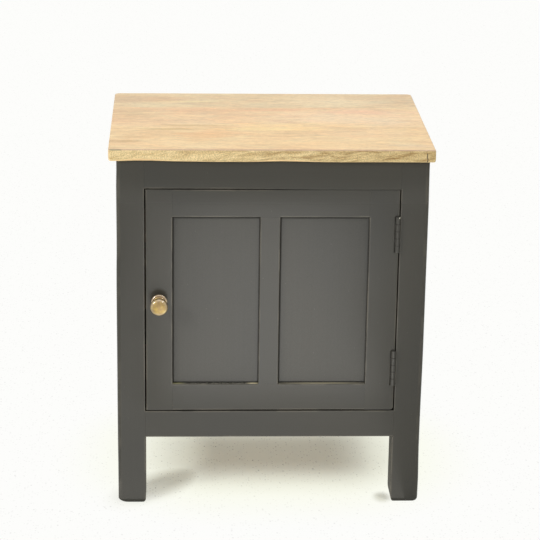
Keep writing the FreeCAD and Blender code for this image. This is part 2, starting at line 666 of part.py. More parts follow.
def make_shelf():
    """The shelf, two bearers housed in the legs, and the screws that hold the shelf down."""
    edge = f"({PANEL_BACK} + Sizes.board_fit)"
    front_edge = "(Sizes.door_thickness + Sizes.shelf_setback)"
    shelf = notched_board(
        "shelf",
        (f"{CARCASS_LEFT} + {edge}", f"{FRONT} + {front_edge}", SHELF_UNDER),
        f"({CARCASS_RIGHT} - {CARCASS_LEFT} - 2 * {edge})",
        f"({CARCASS_DEPTH} - {front_edge} - {edge})",
        "Sizes.shelf_thickness",
        f"Sizes.leg_width - {edge} + Sizes.board_fit",
        f"Sizes.leg_depth - {front_edge} + Sizes.board_fit",
        f"Sizes.leg_depth - {edge} + Sizes.board_fit",
    )
    bearer_set = f"({PANEL_BACK} + Sizes.bearer_panel_gap)"
    bearer_length = f"({SIDE_LENGTH} + 2 * Sizes.bearer_housing - 2 * Sizes.joint_fit)"
    bearer_front = f"({SIDE_FRONT} - Sizes.bearer_housing + Sizes.joint_fit)"
    bearer_foot = f"({SHELF_UNDER} - Sizes.bearer_height)"
    bite = "Sizes.screw_bite_share * Sizes.shelf_thickness"
    first, last = (f"({CLEAT_FRONT} + {step})" for step in side_screw_steps())
    lines = {}
    for side in ("left", "right"):
        low_x = f"{CARCASS_LEFT} + {bearer_set}"
        if side == "right":
            low_x = f"{CARCASS_RIGHT} - {bearer_set} - Sizes.bearer_width"
        bearer = Piece(f"shelf_bearer_{side}", (low_x, bearer_front, bearer_foot))
        bearer.slab("Sizes.bearer_width", bearer_length, "Sizes.bearer_height")
        lines[side] = f"({low_x} + Sizes.bearer_width / 2)"
        for line in (first, last):
            start = bearer.own(lines[side], line, bearer_foot)
            bearer.sunk_hole(start, "+z", "wood", "Sizes.bearer_height")
            hole = shelf.own(lines[side], line, SHELF_UNDER)
            shelf.screw_hole(hole, "+z", "wood", f"{bite} + Sizes.screw_end_gap")
    screws = countersunk(
        "shelf_screws",
        (lines["left"], first, bearer_foot),
        "+z",
        "wood",
        f"(Sizes.bearer_height + {bite})",
        solids=4,
    )
    across = f"{lines['right']} - {lines['left']}"
    screws.repeat("Y_Axis", f"{last} - {first}", 2, second=("X_Axis", across, 2))


def make_top_screws():
    """The screws that come up through the two cleats, one into each board of the top."""
    left = f"({CARCASS_LEFT} + Sizes.rail_thickness + Sizes.cleat_width / 2)"
    right = f"({CARCASS_RIGHT} - Sizes.rail_thickness - Sizes.cleat_width / 2)"
    screws = countersunk(
        "top_fixing_screws",
        (left, TOP_SCREWS[0], f"{UNDER_TOP} - Sizes.cleat_height"),
        "+z",
        "wood",
        "(Sizes.cleat_height + Sizes.screw_bite_share * Sizes.top_thickness)",
        solids=6,
    )
    for line in TOP_SCREWS[1:]:
        screws.repeat("Y_Axis", f"{line} - {TOP_SCREWS[0]}", 2, second=("X_Axis", f"{right} - {left}", 2))


def make_stile(name, place_x, width, inner_is_high):
    """A door stile with its groove and mortises. The hinge stile's lower outer corner is worn round."""
    stile = Piece(f"door_{name}_stile", (place_x, FRONT, DOOR_BOTTOM))
    stile.slab(width, "Sizes.door_thickness", DOOR_HEIGHT)
    if not inner_is_high:
        stile.round("Sizes.door_corner_round", ["+x", "-z"])

    def cut(reach, set_back, thickness, foot, height):
        low_x = f"{width} - ({reach})" if inner_is_high else "0"
        stile.cut_block((low_x, set_back, foot), reach, thickness, height)

    cut(
        "Sizes.door_groove_depth",
        "Sizes.door_panel_recess - Sizes.panel_fit",
        "Sizes.door_panel_thickness + 2 * Sizes.panel_fit",
        "Sizes.door_rail_width - Sizes.door_groove_depth",
        f"{DOOR_INNER_HEIGHT} + 2 * Sizes.door_groove_depth",
    )
    tenon_height = "(Sizes.door_rail_width - Sizes.door_tenon_shoulder - Sizes.door_groove_depth)"
    upper_foot = f"{DOOR_HEIGHT} - Sizes.door_tenon_shoulder - {tenon_height}"
    for foot in ("Sizes.door_tenon_shoulder", upper_foot):
        cut(
            "(Sizes.door_tenon_length + Sizes.tenon_end_gap)",
            "Sizes.door_panel_recess - Sizes.joint_fit",
            "Sizes.door_panel_thickness + 2 * Sizes.joint_fit",
            f"{foot} - Sizes.joint_fit",
            f"{tenon_height} + 2 * Sizes.joint_fit",
        )
    return stile


def make_door_frame():
    """Stiles, rails and muntin. The hinge stile is notched for the whole thickness of the hinges."""
    lock = make_stile("lock", DOOR_LEFT, "Sizes.lock_stile_width", inner_is_high=True)
    lock.screw_hole(lock.own(KNOB_X, FRONT, KNOB_Z), "+y", "knob", "Sizes.door_thickness")
    start = lock.own(STRIKE_SCREW_X, DOOR_BACK, STRIKE_SCREW_Z)
    lock.screw_hole(start, "-y", "small", f"{SMALL_GRIP} - Sizes.strike_thickness")

    hinge_left = f"{DOOR_RIGHT} - Sizes.hinge_stile_width"
    stile = make_stile("hinge", hinge_left, "Sizes.hinge_stile_width", inner_is_high=False)
    notch_x = f"({HINGE_X} - Sizes.barrel_radius)"
    notch_height = "Sizes.hinge_length + 2 * Sizes.leaf_end_fit"
    for foot in HINGE_FOOT.values():
        low = stile.own(notch_x, FRONT, f"{foot} - Sizes.leaf_end_fit")
        leaf_reach = "Sizes.leaf_width - Sizes.barrel_proud + Sizes.leaf_end_fit"
        stile.cut_block(low, f"{DOOR_RIGHT} - {notch_x}", leaf_reach, notch_height)
        deep = f"({notch_x} - Sizes.barrel_relief)"
        low = stile.own(deep, FRONT, f"{foot} - Sizes.leaf_end_fit")
        barrel_reach = "Sizes.barrel_radius + Sizes.barrel_relief - Sizes.barrel_proud"
        stile.cut_block(low, f"{DOOR_RIGHT} - {deep}", barrel_reach, notch_height)
        for step in ("0", "Sizes.hinge_screw_spacing"):
            level = f"{foot} + {HINGE_SCREW_SET} + {step}"
            start = stile.own(notch_x, f"{HINGE_Y} + {HINGE_SCREW_BACK}", level)
            stile.screw_hole(start, "-x", "small", SMALL_GRIP)

    groove_set = "Sizes.door_panel_recess - Sizes.panel_fit"
    groove_width = "Sizes.door_panel_thickness + 2 * Sizes.panel_fit"
    for name, foot in (("bottom", DOOR_BOTTOM), ("top", f"{DOOR_TOP} - Sizes.door_rail_width")):
        rail = Piece(f"door_{name}_rail", (DOOR_INNER_LEFT, FRONT, foot))
        rail.slab(DOOR_INNER_WIDTH, "Sizes.door_thickness", "Sizes.door_rail_width")
        tenon_foot = "Sizes.door_tenon_shoulder" if name == "bottom" else "Sizes.door_groove_depth"
        for start in ("-Sizes.door_tenon_length", DOOR_INNER_WIDTH):
            rail.add_block(
                (start, "Sizes.door_panel_recess", tenon_foot),
                "Sizes.door_tenon_length",
                "Sizes.door_panel_thickness",
                "Sizes.door_rail_width - Sizes.door_tenon_shoulder - Sizes.door_groove_depth",
            )
        groove_foot = "Sizes.door_rail_width - Sizes.door_groove_depth" if name == "bottom" else "0"
        low = ("0", groove_set, groove_foot)
        rail.cut_block(low, DOOR_INNER_WIDTH, groove_width, "Sizes.door_groove_depth")

    muntin = Piece("door_muntin", (MUNTIN_LEFT, FRONT, DOOR_INNER_BOTTOM))
    muntin.slab("Sizes.muntin_width", "Sizes.door_thickness", DOOR_INNER_HEIGHT)
    for low_x in ("0", "Sizes.muntin_width - Sizes.door_groove_depth"):
        low = (low_x, groove_set, "0")
        muntin.cut_block(low, "Sizes.door_groove_depth", groove_width, DOOR_INNER_HEIGHT)
    for foot in (f"-{DOOR_PANEL_HOLD}", DOOR_INNER_HEIGHT):
        muntin.add_block(
            ("Sizes.door_groove_depth", "Sizes.door_panel_recess", foot),
            "Sizes.muntin_width - 2 * Sizes.door_groove_depth",
            "Sizes.door_panel_thickness",
            DOOR_PANEL_HOLD,
        )


def make_door_panels():
    """Two flat panels, loose in the grooves of the door's frame. The muntin stands a little left of the middle."""
    sights = (
        ("left", DOOR_INNER_LEFT, f"{PANEL_SIGHT} - Sizes.muntin_shift"),
        ("right", f"{MUNTIN_LEFT} + Sizes.muntin_width", f"{PANEL_SIGHT} + Sizes.muntin_shift"),
    )
    for side, edge, sight_width in sights:
        place = (
            f"{edge} - {DOOR_PANEL_HOLD}",
            f"{FRONT} + Sizes.door_panel_recess",
            f"{DOOR_INNER_BOTTOM} - {DOOR_PANEL_HOLD}",
        )
        panel = Piece(f"door_panel_{side}", place)
        panel.slab(
            f"{sight_width} + 2 * {DOOR_PANEL_HOLD}",
            "Sizes.door_panel_thickness",
            f"{DOOR_INNER_HEIGHT} + 2 * {DOOR_PANEL_HOLD}",
        )


def make_leaf(level, owner):
    """One leaf of a hinge: a plate, its knuckles, a bore for the pin and two countersunk holes."""
    on_frame = owner == "frame"
    leaf = Piece(f"{level}_hinge_{owner}_leaf", (HINGE_X, HINGE_Y, HINGE_FOOT[level]))
    leaf.add_rod("Sizes.barrel_radius", "Sizes.hinge_length")
    plate_x = "Sizes.barrel_radius - Sizes.leaf_thickness" if on_frame else "-Sizes.barrel_radius"
    leaf.add_block((plate_x, "0", "0"), "Sizes.leaf_thickness", "Sizes.leaf_width", "Sizes.hinge_length")
    leaf.bore(("0", "0", "0"), "+z", "Sizes.pin_radius + Sizes.pin_fit", "Sizes.hinge_length")
    reach = "(Sizes.barrel_radius + Sizes.barrel_relief)"
    knuckle = f"(Sizes.hinge_length / {KNUCKLES})"
    for index in range(1 if on_frame else 0, KNUCKLES, 2):
        below = "0" if index == 0 else "Sizes.knuckle_gap"
        above = "0" if index == KNUCKLES - 1 else "Sizes.knuckle_gap"
        leaf.cut_block(
            (f"-{reach}", f"-{reach}", f"{knuckle} * {index} - {below}"),
            f"2 * {reach}",
            f"2 * {reach}",
            f"{knuckle} + {below} + {above}",
        )
    face_x = plate_x if on_frame else f"{plate_x} + Sizes.leaf_thickness"
    outward = "+x" if on_frame else "-x"
    for step in ("0", "Sizes.hinge_screw_spacing"):
        start = (face_x, HINGE_SCREW_BACK, f"{HINGE_SCREW_SET} + {step}")
        leaf.sunk_hole(start, outward, "small", "Sizes.leaf_thickness")


def make_hinges():
    """Two butt hinges, each with two leaves and a pin, and the screws of all four leaves."""
    for level in ("upper", "lower"):
        make_leaf(level, "frame")
        make_leaf(level, "door")
        pin = Piece(f"{level}_hinge_pin", (HINGE_X, HINGE_Y, HINGE_FOOT[level]))
        pin.add_rod("Sizes.pin_radius", "Sizes.hinge_length")
        pin.round("Sizes.pin_end_round", ["-z"])
        pin.round("Sizes.pin_end_round", ["+z"])
    inset = "(Sizes.barrel_radius - Sizes.leaf_thickness)"
    top_screw = f"{HINGE_FOOT['upper']} + {HINGE_SCREW_SET} + Sizes.hinge_screw_spacing"
    rows = {
        "frame": ("+x", f"{HINGE_X} + {inset}", top_screw),
        "door": ("-x", f"{HINGE_X} - {inset}", f"{HINGE_FOOT['lower']} + {HINGE_SCREW_SET}"),
    }
    for owner, (outward, face_x, first) in rows.items():
        screws = countersunk(
            f"hinge_{owner}_screws",
            (face_x, f"{HINGE_Y} + {HINGE_SCREW_BACK}", first),
            outward,
            "small",
            "(Sizes.small_screw_length + Sizes.leaf_thickness)",
            solids=4,
        )
        screws.repeat("X_Axis", "Sizes.hinge_screw_spacing", 2, second=("X_Axis", HINGE_RISE, 2))


def make_knob():
    """A turned knob on its rosette, with the screw that holds both from inside the door."""
    knob_foot = "Sizes.rosette_thickness"
    head_back = "(Sizes.knob_projection - Sizes.knob_head_depth)"
    crown_foot = "(Sizes.knob_projection - Sizes.knob_crown)"
    neck_middle = f"(({knob_foot} + {head_back}) / 2)"
    crown_x, crown_rise = cap_point("Sizes.knob_radius", "Sizes.knob_crown")
    knob = Piece("knob", (KNOB_X, FRONT, KNOB_Z), "-y")
    knob.turned(
        [
            ("0", knob_foot),
            ("Sizes.knob_foot_radius", knob_foot),
            ("Sizes.knob_foot_radius", head_back),
            ("Sizes.knob_radius", f"{head_back} + Sizes.knob_back_slope"),
            ("Sizes.knob_radius", crown_foot),
            ("0", "Sizes.knob_projection"),
        ],
        {1: ("Sizes.knob_neck_radius", neck_middle), 4: (crown_x, f"{crown_foot} + {crown_rise}")},
    )
    knob.round_rim("Sizes.knob_rim_round", "Sizes.knob_radius", crown_foot)
    knob.round_rim("Sizes.knob_back_round", "Sizes.knob_radius", f"{head_back} + Sizes.knob_back_slope")
    knob.screw_hole(("0", "0", knob_foot), "+z", "knob", "Sizes.knob_screw_bite + Sizes.screw_end_gap")

    rosette = Piece("knob_rosette", (KNOB_X, FRONT, KNOB_Z), "-y")
    rosette.add_rod("Sizes.rosette_radius", "Sizes.rosette_thickness")
    rosette.round("Sizes.rosette_round", ["+z"])
    rosette.screw_hole(("0", "0", "0"), "+z", "knob", "Sizes.rosette_thickness")

    screw = Piece("knob_screw", (KNOB_X, DOOR_BACK, KNOB_Z), "-y")
    length = "(Sizes.door_thickness + Sizes.rosette_thickness + Sizes.knob_screw_bite)"
    head_top = "-Sizes.knob_screw_head_height"
    head_x, head_rise = cap_point("Sizes.knob_screw_head_radius", "Sizes.knob_screw_head_height")
    screw.turned(
        [
            ("0", head_top),
            ("Sizes.knob_screw_head_radius", "0"),
            ("Sizes.knob_screw_radius", "0"),
            ("Sizes.knob_screw_radius", length),
            ("0", length),
        ],
        {0: (head_x, f"-{head_rise}")},
    )


def make_catch():
    """A magnetic catch on the front left leg, and the strike plate that it holds on the door."""
    housing = Piece("catch_housing", (OPENING_LEFT, CATCH_FRONT, CATCH_FOOT))
    housing.slab("Sizes.catch_flange", "Sizes.catch_depth", "Sizes.catch_length")
    box_foot = "((Sizes.catch_length - Sizes.catch_box_length) / 2)"
    low = ("0", "0", box_foot)
    housing.add_block(low, "Sizes.catch_width", "Sizes.catch_depth", "Sizes.catch_box_length")
    stack = "(Sizes.magnet_thickness + 2 * Sizes.pole_thickness)"
    stack_x = f"((Sizes.catch_width - {stack}) / 2)"
    stack_foot = "((Sizes.catch_length - Sizes.magnet_length) / 2)"
    housing.cut_block(
        (f"{stack_x} - Sizes.catch_fit", "0", f"{stack_foot} - Sizes.catch_fit"),
        f"{stack} + 2 * Sizes.catch_fit",
        "Sizes.magnet_depth + Sizes.catch_fit",
        "Sizes.magnet_length + 2 * Sizes.catch_fit",
    )
    screw_y = "Sizes.catch_depth / 2"
    for level in (CATCH_SCREW_SET, f"Sizes.catch_length - {CATCH_SCREW_SET}"):
        start = ("Sizes.catch_flange", screw_y, level)
        housing.sunk_hole(start, "-x", "small", "Sizes.catch_flange")

    magnet_x = f"{OPENING_LEFT} + {stack_x} + Sizes.pole_thickness"
    magnet = Piece("catch_magnet", (magnet_x, CATCH_FRONT, f"{CATCH_FOOT} + {stack_foot}"))
    magnet.slab("Sizes.magnet_thickness", "Sizes.magnet_depth", "Sizes.magnet_length")

    pole_place = (
        f"{OPENING_LEFT} + {stack_x}",
        f"{CATCH_FRONT} - Sizes.pole_proud",
        f"{CATCH_FOOT} + {stack_foot}",
    )
    poles = Piece("catch_pole_plates", pole_place, solids=2)
    poles.slab("Sizes.pole_thickness", "Sizes.magnet_depth + Sizes.pole_proud", "Sizes.magnet_length")
    poles.repeat("X_Axis", "Sizes.magnet_thickness + Sizes.pole_thickness", 2)

    screw_place = (
        f"{OPENING_LEFT} + Sizes.catch_flange",
        f"{CATCH_FRONT} + {screw_y}",
        f"{CATCH_FOOT} + {CATCH_SCREW_SET}",
    )
    screws = countersunk(
        "catch_screws",
        screw_place,
        "-x",
        "small",
        "(Sizes.small_screw_length + Sizes.catch_flange)",
        solids=2,
    )
    screws.repeat("X_Axis", f"Sizes.catch_length - 2 * {CATCH_SCREW_SET}", 2)

    strike = Piece("strike_plate", (STRIKE_LEFT, DOOR_BACK, STRIKE_FOOT))
    strike.slab("Sizes.strike_width", "Sizes.strike_thickness", "Sizes.strike_length")
    start = ("Sizes.strike_width / 2", "Sizes.strike_thickness", "Sizes.strike_length / 2")
    strike.sunk_hole(start, "-y", "small", "Sizes.strike_thickness")
    screw_place = (STRIKE_SCREW_X, f"{DOOR_BACK} + Sizes.strike_thickness", STRIKE_SCREW_Z)
    countersunk("strike_screw", screw_place, "-y", "small", "Sizes.small_screw_length")


def check():
    """Stops unless every object is sound, every cut removes something and every piece has its solids."""
    for item in doc.Objects:
        if "Invalid" in item.State or "Error" in item.State:
            raise RuntimeError(f"{item.Label} failed: {item.State}")
        if item.TypeId.startswith("PartDesign::Subtractive"):
            if item.Shape.Volume >= item.BaseFeature.Shape.Volume:
                raise RuntimeError(f"{item.Label} of {item.getParentGeoFeatureGroup().Label} cuts nothing")
    for piece in Piece.made:
        shape = piece.body.Shape
        if shape.isNull() or not shape.isValid() or len(shape.Solids) != piece.solids:
            raise RuntimeError(f"{piece.body.Label} is not sound")


def build():
    """Makes every sub-part, checks them all and writes one file each."""
    make_top()
    make_legs()
    make_cross_rails()
    for side in ("left", "right"):
        make_side(side)
    make_back()
    make_floor()
    make_shelf()
    make_top_screws()
    make_door_frame()
    make_door_panels()
    make_hinges()
    make_knob()
    make_catch()
    doc.recompute()
    check()
    os.makedirs("parts", exist_ok=True)
    for piece in Piece.made:
        piece.body.Shape.exportStep(f"parts/{piece.body.Label}.step")
    print(len(Piece.made), "sub-parts")


build()
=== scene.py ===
"""Looks of a one-door side table: a pale hardwood top on a charcoal painted carcass with a panelled door.

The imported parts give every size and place. Each wooden piece that shows is lofted again with eased edges
and a maker's slight unevenness, the knob is turned again, and every other part keeps its shape and gets a
finish.
"""

import json
import logging
import math
import random
from collections.abc import Sequence
from dataclasses import dataclass, field
from enum import Enum

import bmesh
import bpy
from mathutils import Matrix, Vector


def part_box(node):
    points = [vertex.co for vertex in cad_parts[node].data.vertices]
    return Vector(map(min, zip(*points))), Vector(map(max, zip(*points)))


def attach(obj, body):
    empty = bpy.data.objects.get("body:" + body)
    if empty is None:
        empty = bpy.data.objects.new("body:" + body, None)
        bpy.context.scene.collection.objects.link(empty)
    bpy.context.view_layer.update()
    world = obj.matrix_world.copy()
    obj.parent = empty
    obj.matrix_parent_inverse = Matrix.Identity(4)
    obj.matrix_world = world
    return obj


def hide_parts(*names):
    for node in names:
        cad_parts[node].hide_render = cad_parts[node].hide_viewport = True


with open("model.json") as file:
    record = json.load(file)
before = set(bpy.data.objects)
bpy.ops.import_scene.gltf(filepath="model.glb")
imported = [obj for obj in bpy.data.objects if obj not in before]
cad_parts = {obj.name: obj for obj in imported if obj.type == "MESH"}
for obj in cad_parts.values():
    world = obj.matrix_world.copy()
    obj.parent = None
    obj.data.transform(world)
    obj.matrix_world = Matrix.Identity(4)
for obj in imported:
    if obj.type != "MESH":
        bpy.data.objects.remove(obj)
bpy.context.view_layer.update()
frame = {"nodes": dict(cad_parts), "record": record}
LOG = logging.getLogger("side_table")

Pair = tuple[float, float]
Point = tuple[float, float, float]
Colour = tuple[float, float, float]
Corners = tuple[float, float, float, float]
RingPoint = tuple[float, float, float]
Ring = list[tuple[Vector, float]]
Material = bpy.types.Material
Piece = bpy.types.Object
Socket = bpy.types.NodeSocket
Value = Socket | float
Tint = Socket | Colour

MM = 0.001
# The faces in the round of an eased edge, and the points of one corner in a ring
CORNER_STEPS = 6
RING_CORNER = CORNER_STEPS + 3
# The steps in the rounding of a bar's end, and the usual and least steps between rings along a bar
END_STEPS = 6
STATION_STEP = 18 * MM
LEAST_STEP = 0.02 * MM
# How far from an eased edge the flat has a row of points, at most and as a share of the bar's thickness
SUPPORT = 1.5 * MM
SUPPORT_SHARE = 0.2
# The radii between which an edge's rubbing and painted highlight are most, and their share at its round's
# sides
LIT_RUB_FROM = 0.8 * MM
LIT_RUB_TO = 2.2 * MM
SIDE_LIT_RUB = 0.55
# Half the length over which an edge's radius changes
EASE_STEP = 0.5 * MM
# The ripples that hand planing leaves: their lengths in metres and their shares of the unevenness
RIPPLES = ((0.31, 0.25), (0.127, 0.16), (0.052, 0.09))
# The legs, in the order of the corners of a section
LEGS = (("front", "left"), ("front", "right"), ("rear", "right"), ("rear", "left"))
# Points nearer than this are one point, and faces that meet under this angle are shaded as one
SAME_POINT = 1e-6
SMOOTH_UNDER = math.radians(32)
# The values between which most of a noise lies
NOISE_LOW = 0.3
NOISE_HIGH = 0.7


def seen(red: int, green: int, blue: int) -> Colour:
    """Turns a colour as a screen shows it, from 0 to 255, into the light values that shaders take."""
    shares = (red / 255, green / 255, blue / 255)
    return tuple(s / 12.92 if s <= 0.04045 else ((s + 0.055) / 1.055) ** 2.4 for s in shares)


class Along(Enum):
    """The axis that a bar, its grain or its brush marks run along."""

    X = 0
    Y = 1
    Z = 2

    @property
    def across(self) -> tuple[int, int]:
        """The other two axes, in the order that keeps the three right-handed."""
        return (self.value + 1) % 3, (self.value + 2) % 3

    def stretched(self, along: float, across: float) -> Point:
        """Scales for a texture with one fineness along this axis and another across it."""
        return tuple(along if axis is self else across for axis in Along)


class Slot(Enum):
    """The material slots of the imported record."""

    TOP_WOOD = "top_wood"
    PAINTED_WOOD = "painted_wood"
    INNER_WOOD = "inner_wood"
    AGED_BRASS = "aged_brass"
    PAINTED_HINGE = "painted_hinge"
    ZINC_STEEL = "zinc_steel"
    CATCH_PLASTIC = "catch_plastic"
    FERRITE = "ferrite"


class Body(Enum):
    """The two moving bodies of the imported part."""

    CARCASS = "carcass"
    DOOR = "door"


class Graph:
    """Wires the nodes of one material round a principled shader."""

    def __init__(self, name: str) -> None:
        """Starts a material.

        Args:
            name: The material's name.
        """
        self.material = bpy.data.materials.new(name)
        self.material.use_nodes = True
        self.tree = self.material.node_tree
        self.tree.nodes.clear()
        self.output = self.node("ShaderNodeOutputMaterial")
        self.shader = self.node("ShaderNodeBsdfPrincipled")
        self.feed(self.output.inputs[0], self.shader.outputs[0])

    def node(
        self, kind: str, feeds: dict[str | int, Value | Point] | None = None, **settings: object
    ) -> bpy.types.Node:
        """Adds a node.

        Args:
            kind: Blender's name for the node.
            feeds: What its sockets take, by their names or numbers.
            settings: Attributes to set on it.

        Returns:
            The node.
        """
        made = self.tree.nodes.new(kind)
        for key, value in settings.items():
            setattr(made, key, value)
        for key, value in (feeds or {}).items():
            self.feed(made.inputs[key], value)
        return made

    def feed(self, socket: Socket, value: Value | Point) -> None:
        """Links a socket to another, or sets its number, vector or colour.

        Args:
            socket: The socket that takes the value.
            value: A socket, a number, a vector or a colour.
        """
        if isinstance(value, Socket):
            self.tree.links.new(value, socket)
        elif socket.type == "RGBA":
            socket.default_value = (*value, 1.0)
        else:
            socket.default_value = value

    def surface(self, name: str, value: Value | Colour) -> None:
        """Feeds one socket of the principled shader by its name."""
        self.feed(self.shader.inputs[name], value)

    def place(self, scale: Point = (1, 1, 1), shift: Point = (0, 0, 0), turn: Point = (0, 0, 0)) -> Socket:
        """The piece's own coordinates, in metres, turned, scaled and shifted.

        Args:
            scale: Scale along each axis.
            shift: Shift along each axis, after the scale.
            turn: Turn about each axis, in radians, before the scale.

        Returns:
            A vector socket.
        """
        place = self.node("ShaderNodeTexCoord").outputs["Object"]
        for settings in ({"Rotation": turn}, {"Scale": scale, "Location": shift}):
            place = self.node("ShaderNodeMapping", {"Vector": place, **settings}).outputs[0]
        return place

    def length(self, vector: Socket) -> Socket:
        """The length of a vector."""
        return self.node("ShaderNodeVectorMath", {0: vector}, operation="LENGTH").outputs["Value"]

    def axis(self, vector: Socket, along: Along) -> Socket:
        """One coordinate of a vector."""
        return self.node("ShaderNodeSeparateXYZ", {0: vector}).outputs[along.value]

    def maths(self, operation: str, first: Value, second: Value = 0.0) -> Socket:
        """One sum of two values, by Blender's name for it."""
        return self.node("ShaderNodeMath", {0: first, 1: second}, operation=operation).outputs[0]

    def times(self, first: Value, second: Value) -> Socket:
        """The product of two values."""
        return self.maths("MULTIPLY", first, second)

    def most(self, first: Value, second: Value) -> Socket:
        """The greater of two values."""
        return self.maths("MAXIMUM", first, second)

    def apart(self, first: Value, second: Value) -> Socket:
        """How far apart two values are."""
        return self.maths("ABSOLUTE", self.maths("SUBTRACT", first, second))

    def span(
        self, value: Value, low: float, high: float, to_low: float = 0.0, to_high: float = 1.0
    ) -> Socket:
        """Maps values from low to high smoothly onto to_low to to_high, and holds those beyond."""
        feeds = {"Value": value, "From Min": low, "From Max": high, "To Min": to_low, "To Max": to_high}
        return self.node("ShaderNodeMapRange", feeds, interpolation_type="SMOOTHSTEP").outputs[0]

    def vary(self, noise: Socket, low: float, high: float) -> Socket:
        """Lets a noise vary a value from low to high."""
        return self.span(noise, NOISE_LOW, NOISE_HIGH, low, high)

    def noise(
        self, vector: Socket, scale: float = 1.0, detail: float = 2.0, distortion: float = 0.0
    ) -> Socket:
        """Cloudy noise about one half, of some fineness, with finer layers added and its place warped."""
        feeds = {"Vector": vector, "Scale": scale, "Detail": detail, "Distortion": distortion}
        return self.node("ShaderNodeTexNoise", feeds).outputs[0]

    def specks(self, vector: Socket, scale: float, radius: float, share: float) -> Socket:
        """Small scattered dots.

        Args:
            vector: Where they are read.
            scale: How many cells there are to a metre.
            radius: The radius of a dot as a share of its cell.
            share: How many cells have a dot, from nought to one.

        Returns:
            A socket that is one inside a dot.
        """
        cells = self.node("ShaderNodeTexVoronoi", {"Vector": vector, "Scale": scale})
        chosen = self.maths("LESS_THAN", self.axis(cells.outputs["Color"], Along.X), share)
        core = 0.6 * radius
        return self.times(chosen, self.span(cells.outputs["Distance"], radius, core))

    def spread(
        self, factor: Socket, tones: Sequence[Colour], low: float = NOISE_LOW, high: float = NOISE_HIGH
    ) -> Socket:
        """Spreads colours evenly over a range of values, such as most of a noise.

        Args:
            factor: The value that picks the colour.
            tones: The colours, in order.
            low: The value of the first.
            high: The value of the last.

        Returns:
            A colour socket.
        """
        made = self.node("ShaderNodeValToRGB", {0: factor})
        elements = made.color_ramp.elements
        while len(elements) < len(tones):
            elements.new(1.0)
        for number, (element, tone) in enumerate(zip(elements, tones)):
            element.position = low + (high - low) * number / (len(tones) - 1)
            element.color = (*tone, 1.0)
        return made.outputs[0]

    def blend(self, factor: Value, first: Tint, second: Tint, mode: str = "MIX") -> Socket:
        """Mixes a share of the second colour into the first, in a way that Blender names."""
        feeds = {0: factor, 6: first, 7: second}
        return self.node("ShaderNodeMix", feeds, data_type="RGBA", blend_type=mode).outputs[2]

    def shade(self, colour: Tint, amount: Socket) -> Socket:
        """Darkens or lightens a colour by a factor."""
        return self.blend(1.0, colour, amount, "MULTIPLY")

    def arris_lit_rub(self) -> Socket:
        """How far a lofted piece's vertices lie on its arrises, for their rubbing and painted highlight.
        """
        return self.node("ShaderNodeAttribute", attribute_name="arris_lit_rub").outputs["Fac"]

    def relief(self, height: Socket, strength: float, depth: float) -> None:
        """Bumps the surface by a height about nought to one, with a strength and a depth in metres."""
        feeds = {"Strength": strength, "Distance": depth, "Height": height}
        self.surface("Normal", self.node("ShaderNodeBump", feeds).outputs[0])


@dataclass(frozen=True)
class Patch:
    """A soft patch of another colour on a board's face, drawn out along the grain.

    Attributes:
        centre: Its middle, seen from above.
        half: Half its length and half its width.
        colour: Its colour.
        strength: How much of that colour it takes.
        rim: Where it ends, in halves from its middle with the noise added.
        core: Where it is strongest.
    """

    centre: Pair
    half: Pair
    colour: Colour
    strength: float
    rim: float = 1.75
    core: float = 0.7

    def mask(self, graph: Graph, ragged: Socket) -> Socket:
        """Where the patch lies.

        Args:
            graph: The material's graph.
            ragged: Noise that breaks the patch's outline.

        Returns:
            A socket that is its strength in the middle and nought outside.
        """
        (x, y), (half_x, half_y) = self.centre, self.half
        away = graph.length(graph.place((1 / half_x, 1 / half_y, 0), (-x / half_x, -y / half_y, 0)))
        return graph.span(graph.maths("ADD", away, ragged), self.rim, self.core, 0.0, self.strength)


